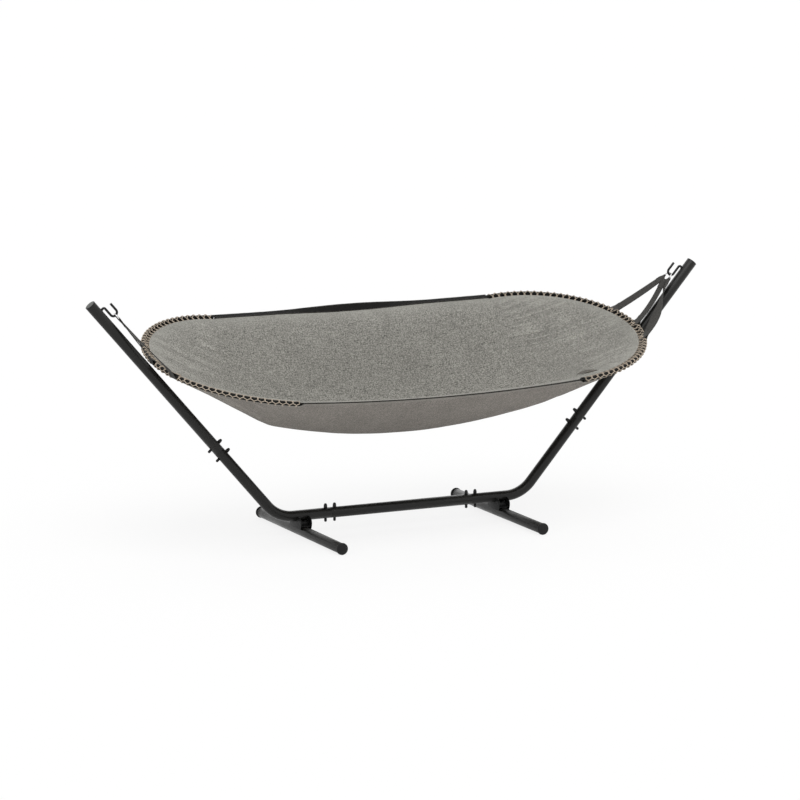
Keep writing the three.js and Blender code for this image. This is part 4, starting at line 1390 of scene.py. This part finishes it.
def band_point(side, x, across):
    """A place on a side band: across runs from -1 at its inner edge to 1 at its outer one."""
    half = bed().band / 2
    y = side * (rim_half_width(x) + across * half * math.cos(BAND_TILT))
    z = rim_lift(x) + 0.0035 + across * half * math.sin(BAND_TILT) * band_lean(side, x)
    return Vector((x, y, z)) + RIM_MIDDLE


class HAMMOCK_OT_bands(bpy.types.Operator):
    """Builds the webbing along both sides and its sewing"""

    bl_idname = "hammock.bands"
    bl_label = "Side bands"

    def execute(self, context):
        reach = BOW_CENTRE - 0.0008
        steps = 144
        for side, label in ((-1, "near"), (1, "far")):

            def place(i, j):
                x = reach * (2 * j / steps - 1)
                across = 2 * i / 8 - 1
                wave = 0.0005 * noise.noise(Vector((x * 22, across * 1.5, side)))
                point = band_point(side, x, across) + UP * wave
                return point, (across * bed().band / 2, x)

            bm = bent_grid(8, steps, place)
            made = piece(bm, f"{label}_edge_band", "bed", "ribbed_band", f"{label}_side_band")
            turn_up(made)
            thicken(made, BAND_THICKNESS, 0)
            self.sew(side, label, reach)
        return {"FINISHED"}

    def sew(self, side, label, reach):
        """Two rows of stitches along the band."""
        lines = []
        for across in (-0.86, 0.80):
            span = (0.01 - reach, reach - 0.012, 0.0068, 0.0048)
            lines += stitch_row(*span, lambda x: band_point(side, x, across))
        bm = stitches(lines, UP * 0.0013)
        piece(bm, f"{label}_band_stitches", "bed", "sewing_thread")


def stitch_row(start, end, pitch, long, point):
    """Both ends of each stitch in a row. point(u) gives a place on the seam."""
    row = []
    while start < end:
        row.append((point(start), point(start + long)))
        start += pitch
    return row


def stitches(lines, lift):
    """Short rounded threads, one for each pair of points."""
    bm = bmesh.new()
    for start, end in lines:
        way = end - start
        turn = UP.rotation_difference(way.normalized()).to_matrix().to_4x4()
        middle = Matrix.Translation((start + end) / 2 + lift) @ turn
        size = Matrix.Diagonal((0.00045, 0.00045, way.length / 2, 1))
        bmesh.ops.create_icosphere(bm, subdivisions=1, radius=1, matrix=middle @ size)
    return bm


# The straps


class StrapLine:
    """A strap's run between bow and ring, with the way across it at each share of its length."""

    def __init__(self, side, step, twist, slack, gather, neck, lean):
        self.gather = gather
        self.lean = lean
        self.neck = neck
        angle = strap_angles()[step + 1]
        turn = step * RING_STEP
        self.low = bow_point(side, angle)
        self.high = ring_point(side, turn)
        self.low_axis = bow_way(side, angle)
        self.high_axis = (ring_pull(side) * -math.sin(turn) + ACROSS * math.cos(turn)).normalized()
        run = self.high - self.low
        self.length = run.length
        self.way = run.normalized()
        self.low_skew = self.low_axis.dot(self.way)
        self.high_skew = self.high_axis.dot(self.way)
        start = (self.low_axis - self.way * self.low_skew).normalized()
        end = (self.high_axis - self.way * self.high_skew).normalized()
        side_way = self.way.cross(start)
        self.start = start
        self.turn = math.atan2(end.dot(side_way), end.dot(start)) + twist
        self.high_skew *= math.cos(twist)
        self.flip = math.cos(twist)
        self.slack = slack
        self.centre = ring_centre(side)

    def turned(self, share):
        """The way across, square to the run: it turns evenly and leans between the ends."""
        turn = self.turn * share + self.lean * math.sin(math.pi * min(max(share, 0), 1) ** 0.6)
        return Matrix.Rotation(turn, 3, self.way) @ self.start

    def across(self, share):
        skew = self.low_skew * (1 - share) ** 4 + self.high_skew * share**4
        across = self.turned(share)
        return (across * math.sqrt(1 - skew * skew) + self.way * skew).normalized()

    def through(self, share):
        return self.way.cross(self.turned(share)).normalized()

    def middle(self, share):
        bulge = max(math.sin(math.pi * share), 0) ** 1.5
        return self.low.lerp(self.high, share) + self.slack * bulge


def strap_stations(line):
    """The strap's path, tail to tail through both loops: point, way across, distance up."""
    thick = bed().strap_thickness
    low_radius = bed().bow / 2 + 0.0003 + thick / 2
    high_radius = RING_WIRE / 2 + 0.0006 + thick / 2
    snug = thick / 2 + 0.0001

    def spread(distance, radius, reach):
        t = min(distance / reach, 1)
        return snug + (radius - snug) * (1 - t * t * (3 - 2 * t))

    stations = []

    def along(low, high, count, sign):
        for i in range(count + 1):
            distance = low + (high - low) * i / count
            share = distance / line.length
            offset = spread(distance, low_radius, 0.034)
            offset = max(offset, spread(line.length - distance, high_radius, 0.022))
            point = line.middle(share) + line.through(share) * (sign * offset)
            stations.append((point, line.across(share), distance))

    along(STRAP_TAILS[0], 0.0, 10, 1)
    low_front = line.low_axis.cross(line.through(0)).normalized()
    if low_front.dot(line.way) < 0:
        low_front = -low_front
    for i in range(1, 12):
        angle = math.pi * i / 12
        out = line.through(0) * math.cos(angle) - low_front * math.sin(angle)
        stations.append((line.low + out * low_radius, line.low_axis, -0.001))
    along(0.0, line.length, 46, -1)
    high_front = line.high_axis.cross(line.through(1)).normalized()
    if high_front.dot(line.way) < 0:
        high_front = -high_front
    for i in range(1, 10):
        angle = math.pi * i / 10
        out = -line.through(1) * math.cos(angle) + high_front * math.sin(angle)
        stations.append((line.high + out * high_radius, line.high_axis * line.flip, line.length))
    along(line.length, line.length - STRAP_TAILS[1], 10, 1)
    return stations


RIGHT_SLACK = ((0.014, -0.004, -0.004), (0.007, -0.003, -0.003), (0, 0, -0.003))
# How far a strap is turned over at its ring, and how far it leans between its ends
STRAP_TURNS = {(1, -1): (math.pi, 0.0), (-1, -1): (0.0, math.radians(-11.0))}


class HAMMOCK_OT_straps(bpy.types.Operator):
    """Builds the six straps between the bows and the rings"""

    bl_idname = "hammock.straps"
    bl_label = "Straps"

    def execute(self, context):
        for side, label in SIDES:
            for step, place in ((-1, "near"), (0, "middle"), (1, "far")):
                slack = Vector(RIGHT_SLACK[step + 1] if side > 0 else (0, 0, -0.003))
                gather, neck = (0.030, 0.0100) if step > 0 else (0.014, 0.0150)
                twist, lean = STRAP_TURNS.get((side, step), (0.0, 0.0))
                line = StrapLine(side, step, twist, slack, gather, neck, lean)
                self.build(line, f"{label}_{place}_strap", f"{label}_strap_{place}")
        return {"FINISHED"}

    def build(self, line, name, node):
        stations = strap_stations(line)
        run = running_lengths([point for point, _, _ in stations])
        columns = 8

        def place(i, j):
            point, across, distance = stations[j]
            close = min(max((line.length - distance) / line.gather, 0), 1)
            close = close * close * (3 - 2 * close)
            half = line.neck + (bed().strap / 2 - line.neck) * close
            u = 2 * i / columns - 1
            towards = (line.centre - line.high).normalized()
            cup = towards * ((u * half) ** 2 / (2 * RING_RADIUS)) * (1 - close)
            return point + across * (u * half) + cup, (u * bed().strap / 2, run[j])

        bm = bent_grid(columns, len(stations) - 1, place, 1e-6)
        bmesh.ops.recalc_face_normals(bm, faces=bm.faces)
        made = piece(bm, name, "bed", "ribbed_strap", node, crease=math.radians(70))
        thicken(made, bed().strap_thickness, 0)


# The tag


TAG_SIZE = (0.096, 0.030, 0.0016)  # long, wide and thick
TAG_INSET = 0.080  # from the bow's line to the tag's outer edge
TAG_ANGLE = math.radians(-80.2)  # round the right bow from its tip
TAG_SKEW = math.radians(12.0)


class HAMMOCK_OT_tag(bpy.types.Operator):
    """Sews the plain leather tag to the inner cloth"""

    bl_idname = "hammock.tag"
    bl_label = "Leather tag"

    def execute(self, context):
        long, wide, thick = TAG_SIZE
        outer = BOW_RADIUS - TAG_INSET

        def on_cloth(u, v, lift):
            """The tag's outer edge lies on the cloth and its inner edge stands level off it."""
            foot = cloth_point(u, -wide / 2, lift)
            point = cloth_point(u, v, lift)
            level = 0.9 * (1 - min(abs(2 * u / long), 1) ** 2) ** 0.7
            rise = 0.006 * (0.5 - u / long) ** 2
            return Vector((point.x, point.y, point.z + rise + max(foot.z - point.z, 0) * level))

        def cloth_point(u, v, lift):
            run = u * math.cos(TAG_SKEW) + v * math.sin(TAG_SKEW)
            reach = outer - wide / 2 - v * math.cos(TAG_SKEW) + u * math.sin(TAG_SKEW)
            angle = TAG_ANGLE + run / outer
            x = BOW_CENTRE + reach * math.cos(angle)
            y = reach * math.sin(angle)
            share = reach / (BOW_RADIUS - INNER_HEM)
            away = share * BOW_RADIUS
            under = inner_drop(BOW_CENTRE + away * math.cos(angle), away * math.sin(angle))
            quiet = min((1 - share) * BOW_RADIUS / 0.12, 1)
            z = rim_lift(x) - under + crease_lift(x, y, 0.0) * quiet
            return Vector((x, y, z + lift)) + RIM_MIDDLE

        bm = bmesh.new()
        uv = bm.loops.layers.uv.new("UVMap")
        bmesh.ops.create_grid(bm, x_segments=16, y_segments=5, size=0.5)
        bmesh.ops.scale(bm, vec=(long, wide, 1), verts=bm.verts)
        corners = [v for v in bm.verts if len(v.link_edges) == 2]
        bmesh.ops.bevel(
            bm, geom=corners, offset=0.005, affect="VERTICES", segments=5, profile=0.5, material=-1
        )
        for face in bm.faces:
            for loop in face.loops:
                loop[uv].uv = loop.vert.co.xy
        for vert in bm.verts:
            vert.co = on_cloth(vert.co.x, vert.co.y, bed().cloth / 2 + thick / 2 + 0.0004)
        made = piece(bm, "sewn_tag", "bed", "tanned_leather", "leather_tag")
        turn_up(made)
        thicken(made, thick, 0)
        round_rim(made, math.radians(30))
        lines = []
        lift = bed().cloth / 2 + thick + 0.0005
        for v in (-wide / 2 + 0.0035, wide / 2 - 0.0035):
            span = (0.006 - long / 2, long / 2 - 0.008, 0.0044, 0.0030)
            lines += stitch_row(*span, lambda u: on_cloth(u, v, lift))
        bm = stitches(lines, Vector())
        piece(bm, "tag_stitches", "bed", "sewing_thread")
        return {"FINISHED"}


# Parts that only show when it is taken apart


class HAMMOCK_OT_inner_parts(bpy.types.Operator):
    """Finishes the sleeves, inserts and foot bolts inside the tubes"""

    bl_idname = "hammock.inner_parts"
    bl_label = "Parts inside"

    def execute(self, context):
        for _, label in SIDES:
            for kind in ("post_sleeve", "rail_sleeve", "rail_insert", "foot_bolt"):
                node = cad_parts[f"{label}_{kind}"]
                if not node.material_slots:
                    node.data.materials.append(None)
                for part in node.material_slots:
                    part.material = finish("galvanised_zinc")
        return {"FINISHED"}


# The stage


def soft_sun(name, way, strength, width):
    """An even light from far away, as wide as a soft box. The way points to it."""
    data = bpy.data.lights.new(name, "SUN")
    data.energy = strength
    data.angle = math.radians(width)
    made = bpy.data.objects.new(name, data)
    made.rotation_euler = Vector(way).to_track_quat("Z", "Y").to_euler()
    bpy.context.scene.collection.objects.link(made)


FLOOR_WHITE = 0.84  # how far the floor turns to plain white for the rays that show it
FILL_LIGHT = 0.62  # how strongly the surroundings light the object
CAMERA_PLACE = (-8.64553, -18.38710 + PLANE_Y, 4.26385)
CAMERA_TURN = (25.1747, 10.2179, 0.094)  # round, down and sideways, in degrees
LENS, SENSOR = 199.1, 36  # millimetres


def shown_white(nodes):
    """1 for the rays that show the surroundings: the camera's own, mirrored and passed ones."""
    light = nodes.add("ShaderNodeLightPath")
    direct = nodes.math("MAXIMUM", light.outputs["Is Camera Ray"], light.outputs["Is Glossy Ray"])
    return nodes.math("MAXIMUM", direct, light.outputs["Is Transmission Ray"])


class HAMMOCK_OT_stage(bpy.types.Operator):
    """Sets the floor, lamps, surroundings and camera"""

    bl_idname = "hammock.stage"
    bl_label = "Stage"

    def execute(self, context):
        self.floor()
        self.surroundings()
        soft_sun("key_lamp", (-0.02, -0.40, 0.90), 1.22, 50)
        soft_sun("back_lamp", (0.35, 0.75, 0.55), 0.45, 60)
        self.camera()
        context.scene.view_settings.view_transform = "Standard"
        return {"FINISHED"}

    def floor(self):
        bm = bmesh.new()
        bmesh.ops.create_grid(bm, x_segments=1, y_segments=1, size=40)
        nodes, shader = new_material("pale_floor")
        nodes.feed(shader, {"Base Color": (0.95, 0.95, 0.95, 1), "Roughness": 0.9})
        white = nodes.add("ShaderNodeEmission", {"Color": (1, 1, 1, 1), "Strength": 1.0})
        share = nodes.times(shown_white(nodes), FLOOR_WHITE)
        rib_shade_and_threads = nodes.add(
            "ShaderNodeMixShader", {0: share, 1: shader.outputs[0], 2: white.outputs[0]}
        )
        nodes.feed(nodes.tree.nodes["Material Output"], {"Surface": rib_shade_and_threads.outputs[0]})
        shown(bm, "floor", bpy.data.materials["pale_floor"])

    def surroundings(self):
        world = bpy.data.worlds.new("surroundings")
        bpy.context.scene.world = world
        world.use_nodes = True
        nodes = Nodes(world.node_tree)
        strength = nodes.plus(nodes.times(shown_white(nodes), 1 - FILL_LIGHT), FILL_LIGHT)
        background = world.node_tree.nodes["Background"]
        nodes.feed(background, {"Color": (1, 1, 1, 1), "Strength": strength})

    def camera(self):
        data = bpy.data.cameras.new("view")
        data.lens = LENS
        data.sensor_width = SENSOR
        data.clip_end = 200
        camera = bpy.data.objects.new("view", data)
        camera.location = CAMERA_PLACE
        yaw, pitch, roll = (math.radians(angle) for angle in CAMERA_TURN)
        level = math.cos(pitch)
        way = Vector((math.sin(yaw) * level, math.cos(yaw) * level, -math.sin(pitch)))
        turn = way.to_track_quat("-Z", "Y").to_matrix() @ Matrix.Rotation(-roll, 3, "Z")
        camera.rotation_euler = turn.to_euler()
        bpy.context.scene.collection.objects.link(camera)
        bpy.context.scene.camera = camera


STEPS = (
    "stage", "tubes", "caps", "saddles", "fasteners", "hooks", "bows", "cloth", "bands",
    "lacing", "straps", "tag", "inner_parts",
)


class HAMMOCK_PT_panel(bpy.types.Panel):
    """Lists the hammock's sizes and building steps"""

    bl_idname = "HAMMOCK_PT_panel"
    bl_label = "Hammock"
    bl_space_type = "VIEW_3D"
    bl_region_type = "UI"
    bl_category = "Hammock"

    def draw(self, context):
        column = self.layout.column()
        for group in (stand(), bed(), finishes()):
            for name in group.__annotations__:
                column.prop(group, name)
        for step in STEPS:
            column.operator(f"hammock.{step}")


CLASSES = (
    HAMMOCK_PG_stand, HAMMOCK_PG_bed, HAMMOCK_PG_finish,
    HAMMOCK_OT_stage, HAMMOCK_OT_tubes, HAMMOCK_OT_caps, HAMMOCK_OT_saddles, HAMMOCK_OT_fasteners,
    HAMMOCK_OT_hooks, HAMMOCK_OT_bows, HAMMOCK_OT_cloth, HAMMOCK_OT_bands, HAMMOCK_OT_lacing,
    HAMMOCK_OT_straps, HAMMOCK_OT_tag, HAMMOCK_OT_inner_parts, HAMMOCK_PT_panel,
)


def register():
    for made in CLASSES:
        bpy.utils.register_class(made)
    bpy.types.Scene.hammock_stand = PointerProperty(type=HAMMOCK_PG_stand)
    bpy.types.Scene.hammock_bed = PointerProperty(type=HAMMOCK_PG_bed)
    bpy.types.Scene.hammock_finish = PointerProperty(type=HAMMOCK_PG_finish)


def unregister():
    del bpy.types.Scene.hammock_finish
    del bpy.types.Scene.hammock_bed
    del bpy.types.Scene.hammock_stand
    for made in reversed(CLASSES):
        bpy.utils.unregister_class(made)


def main():
    register()
    for step in STEPS:
        getattr(bpy.ops.hammock, step)()


if __name__ == "__main__":
    main()
